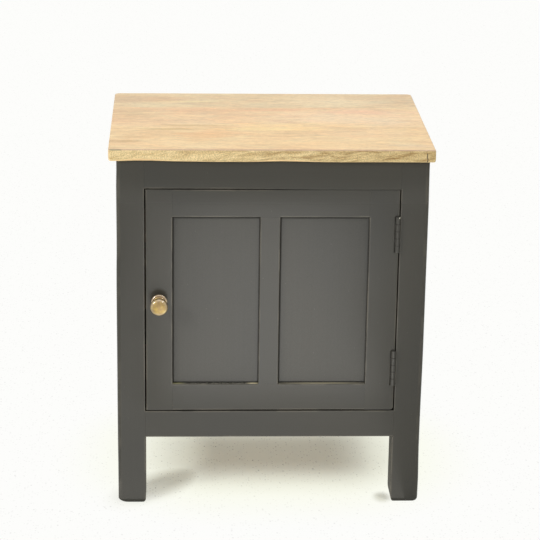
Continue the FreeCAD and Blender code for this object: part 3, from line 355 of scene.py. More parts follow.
@dataclass(frozen=True)
class SatinPaint:
    """Charcoal satin paint, brushed along the grain, with arrises rubbed thin and painted as highlights.

    Attributes:
        name: The material's name.
        grain: The way the brush went.
        tone: The paint's colour.
        warm: The colour of its warmer patches.
        rubbed_and_lit: The colour of its arrises, rubbed thin and painted lighter as a highlight.
        dust: The colour of the specks of dust in it.
        gloss: How strongly it mirrors its surroundings.
        satin: Its roughness where it isn't dulled.
        dull_from: The height over which it gets duller towards the top.
        dull_to: The height from which it is dullest.
        dullest: How dull it is there, from nought to one.
    """

    name: str
    grain: Along
    tone: Colour = seen(56, 55, 52)
    warm: Colour = seen(60, 58, 53)
    rubbed_and_lit: Colour = seen(100, 95, 86)
    dust: Colour = seen(140, 137, 128)
    gloss: float = 0.27
    satin: float = 0.2
    dull_from: float = 427 * MM
    dull_to: float = 490 * MM
    dullest: float = 0.62

    def material(self) -> Material:
        """Builds the paint's material.

        Returns:
            The material.
        """
        graph = Graph(self.name)
        brush = graph.noise(graph.place(self.grain.stretched(along=7, across=420)), detail=3)
        cloud = graph.noise(graph.place(self.grain.stretched(along=4, across=9)), detail=1)
        peel = graph.noise(graph.place(), scale=900, detail=2)
        colour = graph.blend(graph.span(cloud, 0.2, 0.8), self.tone, self.warm)
        colour = graph.shade(colour, graph.span(brush, 0.25, 0.75, to_low=0.98, to_high=1.02))
        colour = graph.shade(colour, graph.span(peel, 0.25, 0.75, to_low=0.92, to_high=1.08))
        dust = graph.specks(graph.place(), scale=190, radius=0.09, share=0.03)
        colour = graph.blend(graph.times(dust, 0.4), colour, self.dust)
        patchy = graph.noise(graph.place(), scale=30, detail=3)
        patches = graph.span(patchy, 0.42, 0.62, to_low=0.2, to_high=0.7)
        # Rubbed arrises, painted lighter in patches as a highlight where the edges catch the light
        colour = graph.blend(graph.times(graph.arris_lit_rub(), patches), colour, self.rubbed_and_lit)
        roughness: Value = self.satin
        if self.dullest > 0.0:
            roughness = graph.span(self.dulled(graph), 0.0, 1.0, self.satin, 1.0)
        graph.surface("Base Color", self.marks(graph, colour))
        graph.surface("Roughness", roughness)
        graph.surface("Specular IOR Level", self.gloss)
        graph.relief(graph.blend(0.8, brush, peel), strength=0.16, depth=0.2 * MM)
        return graph.material

    def dulled(self, graph: Graph) -> Socket:
        """How dull the paint is, from nought to one, which grows towards the top of the front."""
        height = graph.axis(graph.place(), Along.Z)
        return graph.span(height, self.dull_from, self.dull_to, 0.0, self.dullest)

    def marks(self, graph: Graph, colour: Socket) -> Socket:
        """Adds the marks of one kind of piece to its paint, of which a plain one has none."""
        return colour


@dataclass(frozen=True)
class LegPaint(SatinPaint):
    """Paint on the legs, which is dull on the faces that look towards each other.

    Attributes:
        inner: How dull those faces are, from nought to one.
    """

    inner: float = 0.5

    def dulled(self, graph: Graph) -> Socket:
        """Takes the sheen off the inner faces, and off the top of the front ones.

        Args:
            graph: The material's graph.

        Returns:
            The dullness of the faces.
        """
        normal = graph.node("ShaderNodeNewGeometry").outputs["Normal"]
        outward = graph.times(graph.axis(normal, Along.X), graph.axis(graph.place(), Along.X))
        inner = graph.span(outward, -0.12, -0.06, self.inner, 0.0)
        ahead = graph.span(graph.axis(normal, Along.Y), -0.3, -0.8)
        return graph.most(inner, graph.times(ahead, super().dulled(graph)))


@dataclass(frozen=True)
class PanelPaint(SatinPaint):
    """Paint on a loose panel, with a painted shade line where it goes into its grooves.

    Attributes:
        sight: The left, right, lower and upper edges of the panel in sight.
        hidden: How much of its top the rail over it hides.
        core: How far from an edge the line is darkest.
        dark: The colour of the painted shade line.
    """

    sight: Corners = (0, 0, 0, 0)
    hidden: float = 2 * MM
    core: float = 0.5 * MM
    dark: Colour = seen(14, 13, 12)

    def dulled(self, graph: Graph) -> Socket:
        """Takes the sheen off the lines too."""
        return graph.most(self.shade_lines(graph), super().dulled(graph))

    def marks(self, graph: Graph, colour: Socket) -> Socket:
        """Paints shade along the lines."""
        return graph.blend(self.shade_lines(graph), colour, self.dark)

    def shade_lines(self, graph: Graph) -> Value:
        """The painted shade lines, deepest on the left, over the panel and at its foot.

        Args:
            graph: The material's graph.

        Returns:
            How deep they are, from nought to one.
        """
        left, right, lower, upper = self.sight
        shade_lines = (
            (Along.X, left, 3.4 * MM, 0.72),
            (Along.X, right, 2.0 * MM, 0.45),
            (Along.Z, lower, 2.0 * MM, 0.95),
            (Along.Z, upper - self.hidden, 2.4 * MM, 0.5),
        )
        plain = graph.place()
        deepest: Value = 0.0
        for along, edge, width, depth in shade_lines:
            near = graph.apart(graph.axis(plain, along), edge)
            deepest = graph.most(deepest, graph.span(near, width, self.core, 0.0, depth))
        return deepest


@dataclass(frozen=True)
class LedgePaint(SatinPaint):
    """Paint on the rail under the panels, whose ledge is dusty, lit by painted light and bare at some
    ends.

    Attributes:
        ledge: The level of the ledge.
        front: The place of the rail's face.
        bare: Where the wood is bare.
        lit_dust: The colour of the dust on the ledge, made lighter as painted light falling on it.
        under: How far under the ledge the dust and painted light start, and are strongest.
        behind: How far behind the rail's face they start, and are strongest.
    """

    ledge: float = 0.0
    front: float = 0.0
    bare: tuple[Patch, ...] = ()
    lit_dust: Colour = seen(142, 139, 126)
    under: Pair = (0.7 * MM, 0.2 * MM)
    behind: Pair = (0.6 * MM, 1.8 * MM)

    def marks(self, graph: Graph, colour: Socket) -> Socket:
        """Lays the dust with its painted light, and the bare wood, on the ledge.

        Args:
            graph: The material's graph.
            colour: The paint without marks.

        Returns:
            The paint with them.
        """
        ragged = graph.noise(graph.place(scale=(300, 420, 1)), detail=3)
        plain = graph.place()
        under = graph.maths("SUBTRACT", self.ledge, graph.axis(plain, Along.Z))
        behind = graph.maths("SUBTRACT", graph.axis(plain, Along.Y), self.front)
        on_ledge = graph.times(graph.span(under, *self.under), graph.span(behind, *self.behind))
        # Dust on the ledge's upper face, painted lighter as light falling on it
        dust_and_light = graph.times(on_ledge, graph.span(ragged, 0.38, 0.62, to_low=0.1, to_high=0.75))
        colour = graph.blend(dust_and_light, colour, self.lit_dust)
        for patch in self.bare:
            mask = graph.times(on_ledge, patch.mask(graph, ragged))
            colour = graph.blend(mask, colour, patch.colour)
        return colour


@dataclass(frozen=True)
class HingePaint(SatinPaint):
    """Paint over a hinge, with a chip that shows the metal as bright as a painted glint.

    Attributes:
        chip: Where the chip is.
        rim: How far from its middle it ends.
        core: How far from its middle it is bare.
        metal_glint: The colour of the bare metal, as bright as a painted glint.
    """

    chip: Point = (0, 0, 0)
    rim: float = 1.3 * MM
    core: float = 0.6 * MM
    metal_glint: Colour = seen(214, 210, 198)

    def marks(self, graph: Graph, colour: Socket) -> Socket:
        """Bares the chip, with a painted glint."""
        away = graph.length(graph.place(shift=tuple(-part for part in self.chip)))
        return graph.blend(graph.span(away, self.rim, self.core), colour, self.metal_glint)


@dataclass(frozen=True)
class SawnEdge:
    """The sawn front edge of the top, with a deeper figure than the face, a crack and a grey streak.

    Attributes:
        front: The place of the edge.
        face: The level of the top's face.
        tones: The dark, middle and light colours of its figure.
        contrast: The values of the figure that have the dark and the light colour.
        figured: The places along the edge between which the figure grows from faint to full.
        faint: How strong it is where it is faint.
        right: How much darker its right end is.
        darkened: The places between which that wears off.
        depth: How far behind its front it gives way to the face, and where it starts to.
        lit_arris: The colour of its rubbed upper arris, painted as a highlight where it catches light.
        rubbed_and_lit: How far under the face that painted highlight starts, and where it is strongest.
        rub_and_light: How strong it is there, from nought to one.
        crack: The places along the edge between which the crack wanders.
        crack_half: Half the width of the crack, and of its dark core.
        crack_top: How far under the face the crack starts, and where it is darkest.
        crack_colour: The crack's colour.
        streak: The places on the left between which the streak on the arris sets in.
        streak_top: How far under the face the streak starts, and where it is strongest.
        streak_back: How far behind the front it ends.
        streak_strength: How strong it is, from nought to one.
        streak_colour: The streak's colour.
    """

    front: float
    face: float
    tones: tuple[Colour, Colour, Colour] = (seen(168, 138, 90), seen(209, 185, 139), seen(229, 206, 161))
    contrast: Pair = (0.34, 0.66)
    figured: Pair = (-100 * MM, 120 * MM)
    faint: float = 0.45
    right: Colour = (0.78, 0.75, 0.67)
    darkened: Pair = (200 * MM, -150 * MM)
    depth: Pair = (1.5 * MM, 0.7 * MM)
    lit_arris: Colour = seen(190, 160, 140)
    rubbed_and_lit: Pair = (2.6 * MM, 0.6 * MM)
    rub_and_light: float = 0.7
    crack: Pair = (213.1 * MM, 213.9 * MM)
    crack_half: Pair = (0.9 * MM, 0.3 * MM)
    crack_top: Pair = (3.5 * MM, 5.5 * MM)
    crack_colour: Colour = seen(58, 46, 32)
    streak: Pair = (-204 * MM, -211 * MM)
    streak_top: Pair = (2.4 * MM, 1.4 * MM)
    streak_back: float = 3 * MM
    streak_strength: float = 0.8
    streak_colour: Colour = seen(140, 134, 108)

    def dress(self, graph: Graph, face: Socket) -> Socket:
        """Colours the edge and its arris, which has a painted highlight.

        Args:
            graph: The material's graph.
            face: The colour of the board's faces.

        Returns:
            The colour of the whole board.
        """
        plain = graph.place()
        along = graph.axis(plain, Along.X)
        behind = graph.maths("SUBTRACT", graph.axis(plain, Along.Y), self.front)
        under = graph.maths("SUBTRACT", self.face, graph.axis(plain, Along.Z))
        on_edge = graph.span(behind, *self.depth)
        colour = graph.blend(on_edge, face, self.figure(graph, along))
        # The upper arris, rubbed and painted lighter as a highlight
        upper = graph.span(under, *self.rubbed_and_lit, 0.0, self.rub_and_light)
        colour = graph.blend(graph.times(graph.arris_lit_rub(), upper), colour, self.lit_arris)
        wander = graph.vary(graph.noise(graph.place(scale=(1, 1, 300)), detail=2), *self.crack)
        crack = graph.times(graph.span(graph.apart(along, wander), *self.crack_half), on_edge)
        crack = graph.times(crack, graph.span(under, *self.crack_top))
        colour = graph.blend(crack, colour, self.crack_colour)
        streak = graph.times(graph.span(under, *self.streak_top), graph.span(along, *self.streak))
        streak = graph.times(streak, graph.span(behind, self.streak_back, 0.0, 0.0, self.streak_strength))
        return graph.blend(streak, colour, self.streak_colour)

    def figure(self, graph: Graph, along: Socket) -> Socket:
        """The gritty figure of the edge, which is fainter on the left and darker on the right.

        Args:
            graph: The material's graph.
            along: The place along the edge.

        Returns:
            The edge's colour.
        """
        figure = graph.noise(graph.place(scale=(34, 1, 210), turn=(0, 0.1, 0)), detail=5, distortion=1.0)
        strength = graph.span(along, *self.figured, self.faint, 1.0)
        figure = graph.blend(strength, (0.5, 0.5, 0.5), figure)
        colour = graph.spread(figure, self.tones, *self.contrast)
        grit = graph.noise(graph.place(scale=(620, 1, 620)), detail=3)
        colour = graph.shade(colour, graph.span(grit, 0.36, 0.64, to_low=0.76, to_high=1.16))
        to_left = graph.span(along, *self.darkened)
        return graph.shade(colour, graph.spread(to_left, (self.right, (1.0, 1.0, 1.0)), 0.0, 1.0))


@dataclass(frozen=True)
class PaleWood:
    """Pale oiled hardwood with drifting bands, fine fibres and short pores.

    Attributes:
        name: The material's name.
        grain: The way the grain runs.
        tones: The dark, middle and light colours of its bands.
        shift: Where in the pattern this board was cut.
        patches: Its own patches of colour.
        edge: Its sawn front edge, where that is in sight.
        contrast: The values of its figure that have the first and the last of its colours.
        blush: The factors of its colour where it is plain and where it is rosy.
        pore: The colour of its pores.
        pore_strength: How strongly they show, from nought to one.
    """

    name: str
    grain: Along
    tones: tuple[Colour, Colour, Colour]
    shift: Point = (0, 0, 0)
    patches: tuple[Patch, ...] = ()
    edge: SawnEdge | None = None
    contrast: Pair = (0.36, 0.64)
    blush: tuple[Colour, Colour] = ((0.99, 1.0, 1.0), (1.02, 0.97, 0.94))
    pore: Colour = seen(160, 122, 78)
    pore_strength: float = 0.35

    def figure(
        self, graph: Graph, along: float, across: float, detail: float, distortion: float = 0.0
    ) -> Socket:
        """Noise of some fineness along and across the grain, read where this board was cut."""
        place = graph.place(self.grain.stretched(along, across), self.shift)
        return graph.noise(place, detail=detail, distortion=distortion)

    def material(self) -> Material:
        """Builds the wood's material.

        Returns:
            The material.
        """
        graph = Graph(self.name)
        bands = self.figure(graph, along=8, across=38, detail=3, distortion=1.2)
        colour = graph.spread(bands, self.tones, *self.contrast)
        if self.patches:
            ragged = self.figure(graph, along=16, across=90, detail=4, distortion=0.5)
            ragged = graph.span(ragged, 0.2, 0.8)
            for patch in self.patches:
                colour = graph.blend(patch.mask(graph, ragged), colour, patch.colour)
        blush = self.figure(graph, along=15, across=26, detail=3, distortion=0.8)
        colour = graph.shade(colour, graph.spread(blush, self.blush, *self.contrast))
        fibre = self.figure(graph, along=60, across=900, detail=4)
        colour = graph.shade(colour, graph.span(fibre, 0.28, 0.72, to_low=0.92, to_high=1.08))
        mottle = self.figure(graph, along=95, across=420, detail=4, distortion=0.9)
        colour = graph.shade(colour, graph.span(mottle, 0.28, 0.72, to_low=0.88, to_high=1.09))
        pores = graph.span(self.figure(graph, along=160, across=1500, detail=1), 0.64, 0.74)
        colour = graph.blend(graph.times(pores, self.pore_strength), colour, self.pore)
        if self.edge is not None:
            colour = self.edge.dress(graph, colour)
        graph.surface("Base Color", colour)
        graph.surface("Roughness", graph.vary(fibre, 0.45, 0.58))
        graph.surface("Specular IOR Level", 0.4)
        graph.relief(graph.maths("SUBTRACT", fibre, pores), strength=0.25, depth=0.2 * MM)
        return graph.material


@dataclass(frozen=True)
class AgedBrass:
    """Turned brass, bright where hands polish it, brown in its hollows, and with a painted reflection.

    Attributes:
        name: The material's name.
        centre: The middle of its foot, on the axis along Y that it was turned round.
        rosy: How far the whole piece has paled to a rosy white.
        tones: The dark, middle and light colours of its patina.
        reflection_casts: The factors of its colour on its upper and lower sides, a painted reflection.
        sides: How far over its axis the upper side ends, and how far under it the lower one starts.
        grime: The colour in its hollows.
        grimed: The radius up to which it is grimy, and that up to which it is most so.
        grime_out: How far from its foot the grime ends, and where it starts to thin out.
        grime_strength: How thick the grime is, from nought to one.
        polished: The radius from which hands polish it, and that from which they do so most.
        pale: The rosy white.
    """

    name: str
    centre: Point
    rosy: float = 0.0
    tones: tuple[Colour, Colour, Colour] = (seen(148, 124, 88), seen(158, 135, 86), seen(174, 151, 90))
    reflection_casts: tuple[Colour, Colour] = ((0.86, 0.84, 0.92), (1.06, 1.06, 0.96))
    sides: Pair = (5 * MM, -3 * MM)
    grime: Colour = seen(176, 140, 122)
    grimed: Pair = (8 * MM, 5.5 * MM)
    grime_out: Pair = (16 * MM, 13 * MM)
    grime_strength: float = 0.5
    polished: Pair = (8 * MM, 10 * MM)
    pale: Colour = seen(222, 200, 186)

    def material(self) -> Material:
        """Builds the brass's material.

        Returns:
            The material.
        """
        graph = Graph(self.name)
        x, y, z = self.centre
        patina = graph.noise(graph.place(), scale=190, detail=4, distortion=0.3)
        colour = graph.spread(patina, self.tones)
        centred = graph.place(scale=(1, 0, 1), shift=(-x, 0, -z))
        radius = graph.length(centred)
        # Painted reflection: darker on the upper side, lighter and warmer on the lower side
        lower = graph.span(graph.axis(centred, Along.Z), *self.sides)
        colour = graph.shade(colour, graph.spread(lower, self.reflection_casts, 0.0, 1.0))
        out = graph.maths("SUBTRACT", y, graph.axis(graph.place(), Along.Y))
        grimy = graph.times(graph.span(radius, *self.grimed), graph.span(out, *self.grime_out))
        colour = graph.blend(graph.times(grimy, self.grime_strength), colour, self.grime)
        graph.surface("Base Color", graph.blend(self.rosy, colour, self.pale))
        graph.surface("Metallic", 1.0)
        graph.surface("Roughness", graph.vary(patina, 0.58, 0.5))
        graph.surface("Coat Weight", graph.span(radius, *self.polished, to_low=0.1, to_high=1.0))
        graph.surface("Coat IOR", 2.0)
        graph.surface("Coat Roughness", 0.12)
        rings = graph.node("ShaderNodeCombineXYZ", {0: radius}).outputs[0]
        graph.relief(graph.noise(rings, scale=2600, detail=2), strength=0.12, depth=0.15 * MM)
        return graph.material


@dataclass(frozen=True)
class PlainMetal:
    """Zinc plate or sintered magnet: a dull metal with a cloudy, finely scratched surface.

    Attributes:
        name: The material's name.
        dark: The colour of its dull patches.
        bright: The colour of its bright patches.
        metallic: One for metal, less for a sintered body.
        roughness: How dull it is.
        swing: How much that varies along the scratches.
    """

    name: str
    dark: Colour
    bright: Colour
    metallic: float
    roughness: float
    swing: float = 0.08

    def material(self) -> Material:
        """Builds the metal's material.

        Returns:
            The material.
        """
        graph = Graph(self.name)
        cloud = graph.noise(graph.place(), scale=420, detail=4, distortion=0.3)
        scratch = graph.noise(graph.place(scale=(300, 300, 5200)), detail=2)
        smooth, rough = self.roughness - self.swing, self.roughness + self.swing
        graph.surface("Base Color", graph.spread(cloud, (self.dark, self.bright)))
        graph.surface("Metallic", self.metallic)
        graph.surface("Roughness", graph.vary(scratch, smooth, rough))
        graph.relief(scratch, strength=0.15, depth=0.05 * MM)
        return graph.material


@dataclass(frozen=True)
class MouldedPlastic:
    """Brown moulded plastic with a fine spark-eroded grain.

    Attributes:
        name: The material's name.
        tone: Its colour.
        lift: How much lighter its light patches are.
    """

    name: str
    tone: Colour
    lift: float = 1.35

    def material(self) -> Material:
        """Builds the plastic's material.

        Returns:
            The material.
        """
        graph = Graph(self.name)
        grain = graph.noise(graph.place(), scale=2600, detail=2)
        cloud = graph.noise(graph.place(), scale=120, detail=3)
        lighter = tuple(min(1.0, part * self.lift) for part in self.tone)
        graph.surface("Base Color", graph.spread(cloud, (self.tone, lighter)))
        graph.surface("Roughness", graph.vary(cloud, 0.45, 0.55))
        graph.relief(grain, strength=0.3, depth=0.06 * MM)
        return graph.material


@dataclass(frozen=True)
class Rounding:
    """How one side of a bar draws in towards the bar's end.

    Attributes:
        inset: How far the side has drawn in at the end.
        reach: How far from the end it starts to.
    """

    inset: float = 0.0
    reach: float = 0.0

    def at(self, distance: float) -> float:
        """How far the side has drawn in at a distance from the end.

        Args:
            distance: The distance.

        Returns:
            The inset there.
        """
        if distance >= self.reach:
            return 0.0
        return self.inset * (1.0 - math.sqrt(1.0 - (1.0 - distance / self.reach) ** 2))

    def stops(self) -> list[float]:
        """The distances from the end at which the curve needs a ring."""
        return [self.reach * (1.0 - math.cos(math.pi / 2 * k / END_STEPS)) for k in range(END_STEPS + 1)]


Sides = tuple[Rounding, Rounding, Rounding, Rounding]
Keys = Sequence[tuple[float, Corners]]
SQUARE: Sides = (Rounding(),) * 4
STRAIGHT: Keys = ((0.0, (0.0,) * 4),)


def between(keys: Keys, place: float) -> Corners:
    """Reads four values that are written at places along a bar.

    Args:
        keys: The places, in order, and the values there.
        place: Where to read them.

    Returns:
        The values there, which run straight from one place to the next.
    """
    before = max((key for key in keys if key[0] <= place), default=keys[0], key=lambda key: key[0])
    after = min((key for key in keys if key[0] >= place), default=keys[-1], key=lambda key: key[0])
    if after[0] == before[0]:
        return before[1]
    share = (place - before[0]) / (after[0] - before[0])
    return tuple(a + (b - a) * share for a, b in zip(before[1], after[1]))


class Wave:
    """A slow seeded unevenness between nought and one, such as hand planing leaves."""

    def __init__(self, seed: int) -> None:
        """Draws the wave that a seed gives."""
        draw = random.Random(seed)
        self.terms = [(math.tau / length, draw.uniform(0, math.tau), height) for length, height in RIPPLES]

    def at(self, place: float) -> float:
        """The wave's height at a place along a bar."""
        return 0.5 + sum(height * math.sin(turns * place + start) for turns, start, height in self.terms)


def rub_and_light(radius: float) -> float:
    """How far an edge is rubbed and lit as a painted highlight, less where very sharp or very round."""
    return min(1.0, radius / LIT_RUB_FROM) ** 2 * LIT_RUB_TO / max(radius, LIT_RUB_TO)


@dataclass(frozen=True)
class Section:
    """A rounded rectangle across a bar.

    Attributes:
        low: Its low sides.
        high: Its high sides.
        ease: The radius of each corner, from low-low round to low-high.
    """

    low: Pair
    high: Pair
    ease: Corners

    def ring(self) -> list[RingPoint]:
        """Points round the section: each corner's arc, with one more on the flat before and after it.

        Returns:
            The two coordinates of each point and how far it lies on an arris.
        """
        (low_u, low_v), (high_u, high_v) = self.low, self.high
        support = min(SUPPORT, SUPPORT_SHARE * min(high_u - low_u, high_v - low_v))
        corners = (
            (low_u, low_v, 1, 1),
            (high_u, low_v, -1, 1),
            (high_u, high_v, -1, -1),
            (low_u, high_v, 1, -1),
        )
        ring: list[RingPoint] = []
        for number, ((u, v, inward_u, inward_v), radius) in enumerate(zip(corners, self.ease)):
            first = math.pi * (1 + number / 2)
            last = first + math.pi / 2
            centre_u = u + inward_u * radius
            centre_v = v + inward_v * radius
            arc = []
            for step in range(CORNER_STEPS + 1):
                angle = first + math.pi / 2 * step / CORNER_STEPS
                share = 1.0 if 0 < step < CORNER_STEPS else SIDE_LIT_RUB
                point_u = centre_u + radius * math.cos(angle)
                point_v = centre_v + radius * math.sin(angle)
                arc.append((point_u, point_v, share * rub_and_light(radius)))
            start, end = arc[0], arc[-1]
            ring.append((start[0] + support * math.sin(first), start[1] - support * math.cos(first), 0.0))
            ring.extend(arc)
            ring.append((end[0] - support * math.sin(last), end[1] + support * math.cos(last), 0.0))
        return ring


@dataclass
class Bar:
    """A wooden bar lofted along one axis, with eased edges, rounded ends and slightly uneven sides.

    Attributes:
        low: Its lowest corner.
        high: Its highest corner.
        along: The way it runs.
        eases: The radii of its four long edges at places along it.
        start: How its four sides draw in at its low end.
        end: How they draw in at its high end.
        uneven: How far its sides wander inwards.
        seed: Which wander it has.
        bows: How far its four sides bow inwards at places along it.
        waves: The wander of its four sides.
    """

    low: Vector
    high: Vector
    along: Along
    eases: Keys
    start: Sides = SQUARE
    end: Sides = SQUARE
    uneven: float = 0.0
    seed: int = 0
    bows: Keys = STRAIGHT
    waves: list[Wave] = field(init=False)

    def __post_init__(self) -> None:
        """Draws the wander of the four sides."""
        self.waves = [Wave(self.seed * 4 + side) for side in range(4)]

    def stations(self) -> list[float]:
        """The places along the bar that need a ring.

        Returns:
            The places, in order.
        """
        first, last = self.low[self.along.value], self.high[self.along.value]
        count = max(2, round((last - first) / STATION_STEP))
        marks = [first + (last - first) * step / count for step in range(count + 1)]
        marks += [first + stop for rounding in self.start for stop in rounding.stops()]
        marks += [last - stop for rounding in self.end for stop in rounding.stops()]
        marks += [place for place, _ in (*self.eases, *self.bows) if first < place < last]
        kept: list[float] = []
        for mark in sorted(marks):
            if not kept or mark - kept[-1] > LEAST_STEP:
                kept.append(mark)
        kept[-1] = last
        return kept

    def section(self, place: float) -> Section:
        """The bar's section.

        Args:
            place: Where along the bar.

        Returns:
            The section there.
        """
        axis_u, axis_v = self.along.across
        from_start = place - self.low[self.along.value]
        from_end = self.high[self.along.value] - place
        insets = list(between(self.bows, place))
        for side in range(4):
            rounded = self.start[side].at(from_start) + self.end[side].at(from_end)
            insets[side] += rounded + self.uneven * self.waves[side].at(place)
        low = (self.low[axis_u] + insets[0], self.low[axis_v] + insets[2])
        high = (self.high[axis_u] - insets[1], self.high[axis_v] - insets[3])
        return Section(low, high, between(self.eases, place))

    def set_ring(self, ring: Sequence[RingPoint], place: float) -> Ring:
        """Sets the points of a section into the frame at a place along the bar."""
        order = [(axis.value - self.along.value) % 3 for axis in Along]
        return [(Vector([(place, u, v)[part] for part in order]), worn) for u, v, worn in ring]

    def rings(self) -> list[Ring]:
        """Every ring of the loft, from the low end to the high end."""
        return [self.set_ring(self.section(place).ring(), place) for place in self.stations()]


@dataclass
class HingedBar(Bar):
    """A door stile whose outer front corner is cut back for the hinges.

    Attributes:
        notches: The low and high ends of each cut.
        barrel_side: How far out the relief beside a barrel lies.
        leaf_side: How far out the bed of a leaf lies.
        barrel_back: How deep the relief goes.
        leaf_back: How deep the bed goes.
        soft: How far the cut's edges are rounded off.
    """

    notches: Sequence[Pair] = ()
    barrel_side: float = 0.0
    leaf_side: float = 0.0
    barrel_back: float = 0.0
    leaf_back: float = 0.0
    soft: float = 0.4 * MM

    def cut_ring(self, place: float) -> list[RingPoint]:
        """The section's points where the corner is cut back.

        Args:
            place: Where along the stile.

        Returns:
            The two coordinates of each point and how far it lies on an arris.
        """
        section = self.section(place)
        ring = section.ring()
        front, right = section.low[1], section.high[0]
        ring[RING_CORNER : 2 * RING_CORNER] = [
            (self.barrel_side - self.soft - SUPPORT, front, 0.0),
            (self.barrel_side - self.soft, front, SIDE_LIT_RUB),
            (self.barrel_side, front + self.soft, 1.0),
            (self.barrel_side, self.barrel_back, 0.0),
            (self.leaf_side, self.barrel_back, 0.0),
            (self.leaf_side, self.leaf_back, 0.0),
            (right - self.soft, self.leaf_back, 0.0),
            (right, self.leaf_back + self.soft, 0.0),
            (right, self.leaf_back + self.soft + SUPPORT, 0.0),
        ]
        return ring

    def rings(self) -> list[Ring]:
        """Every ring of the loft, with a pair where a cut starts or ends.

        Returns:
            The rings, from the low end to the high end.
        """
        ends = {end for notch in self.notches for end in notch}
        rings = []
        for place in sorted(set(self.stations()) | ends):
            plain = self.set_ring(self.section(place).ring(), place)
            cut = self.set_ring(self.cut_ring(place), place)
            inside = [notch for notch in self.notches if notch[0] <= place <= notch[1]]
            if not inside:
                rings.append(plain)
            elif place == inside[0][0]:
                rings += [plain, cut]
            elif place == inside[0][1]:
                rings += [cut, plain]
            else:
                rings.append(cut)
        return rings


def shown(name: str, mesh: bmesh.types.BMesh) -> Piece:
    """Turns a finished mesh into a smooth-shaded object in the scene.

    Args:
        name: The new object's name.
        mesh: The mesh, which is freed.

    Returns:
        The object.
    """
    bmesh.ops.dissolve_degenerate(mesh, dist=SAME_POINT, edges=mesh.edges)
    bmesh.ops.recalc_face_normals(mesh, faces=mesh.faces)
    data = bpy.data.meshes.new(name)
    mesh.to_mesh(data)
    mesh.free()
    data.shade_smooth()
    data.set_sharp_from_angle(angle=SMOOTH_UNDER)
    made = bpy.data.objects.new(name, data)
    bpy.context.scene.collection.objects.link(made)
    weighted = made.modifiers.new("even_faces", "WEIGHTED_NORMAL")
    weighted.keep_sharp = True
    return made


def lofted(name: str, rings: Sequence[Ring]) -> Piece:
    """Skins a row of rings and closes both ends.

    Args:
        name: The new object's name.
        rings: The rings, each with as many points as the others.

    Returns:
        The object.
    """
    mesh = bmesh.new()
    # How far each vertex lies on an arris, which sets its rubbing and painted highlight
    arris_lit_rub = mesh.verts.layers.float.new("arris_lit_rub")
    loops = []
    for ring in rings:
        loop = []
        for point, worn in ring:
            vertex = mesh.verts.new(point)
            vertex[arris_lit_rub] = worn
            loop.append(vertex)
        loops.append(loop)
    for near, far in zip(loops, loops[1:]):
        for number, vertex in enumerate(near):
            after = (number + 1) % len(near)
            mesh.faces.new((vertex, near[after], far[after], far[number]))
    mesh.faces.new(loops[0][::-1])
    mesh.faces.new(loops[-1])
    return shown(name, mesh)


def turned(name: str, profile: Sequence[Pair], centre: Vector, steps: int = 72) -> Piece:
    """A piece turned round an axis that runs forwards from the door.

    Args:
        name: The new object's name.
        profile: Its radius and its distance from its foot, from the foot outwards.
        centre: The middle of its foot.
        steps: How many sides the turning has.

    Returns:
        The object.
    """
    angles = [math.tau * step / steps for step in range(steps)]
    rings = []
    for radius, out in profile:
        offsets = [Vector((radius * math.cos(angle), -out, radius * math.sin(angle))) for angle in angles]
        rings.append([(centre + offset, 0.0) for offset in offsets])
    return lofted(name, rings)


def cut_board(name: str, outline: Sequence[Pair], low: float, high: float, ease: float) -> Piece:
    """A level board with an outline of its own and eased edges.

    Args:
        name: The new object's name.
        outline: Its corners, anticlockwise from above.
        low: The level of its underside.
        high: The level of its face.
        ease: How far its edges are eased.

    Returns:
        The object.
    """
    mesh = bmesh.new()
    lower = mesh.faces.new([mesh.verts.new((x, y, low)) for x, y in outline])
    raised = bmesh.ops.extrude_face_region(mesh, geom=[lower])
    moved = [item for item in raised["geom"] if isinstance(item, bmesh.types.BMVert)]
    bmesh.ops.translate(mesh, verts=moved, vec=(0, 0, high - low))
    bmesh.ops.recalc_face_normals(mesh, faces=mesh.faces)
    bmesh.ops.bevel(mesh, geom=mesh.edges, offset=ease, segments=3, profile=0.5, affect="EDGES")
    return shown(name, mesh)


def dress(piece: Piece, finish: Material) -> None:
    """Gives a piece its one finish."""
    piece.data.materials.clear()
    piece.data.materials.append(finish)


def install(piece: Piece, node: str, body: Body, finish: Material) -> None:
    """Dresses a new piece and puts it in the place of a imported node.

    Args:
        piece: The new piece.
        node: The node that it stands for.
        body: The body that it moves with.
        finish: Its material.
    """
    dress(piece, finish)
    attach(piece, body.value)
    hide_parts(node)
    LOG.info("%s stands for %s", piece.name, node)


def install_bar(bar: Bar, node: str, body: Body, finish: Material) -> None:
    """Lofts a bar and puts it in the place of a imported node."""
    install(lofted(f"{node}_shaped", bar.rings()), node, body, finish)


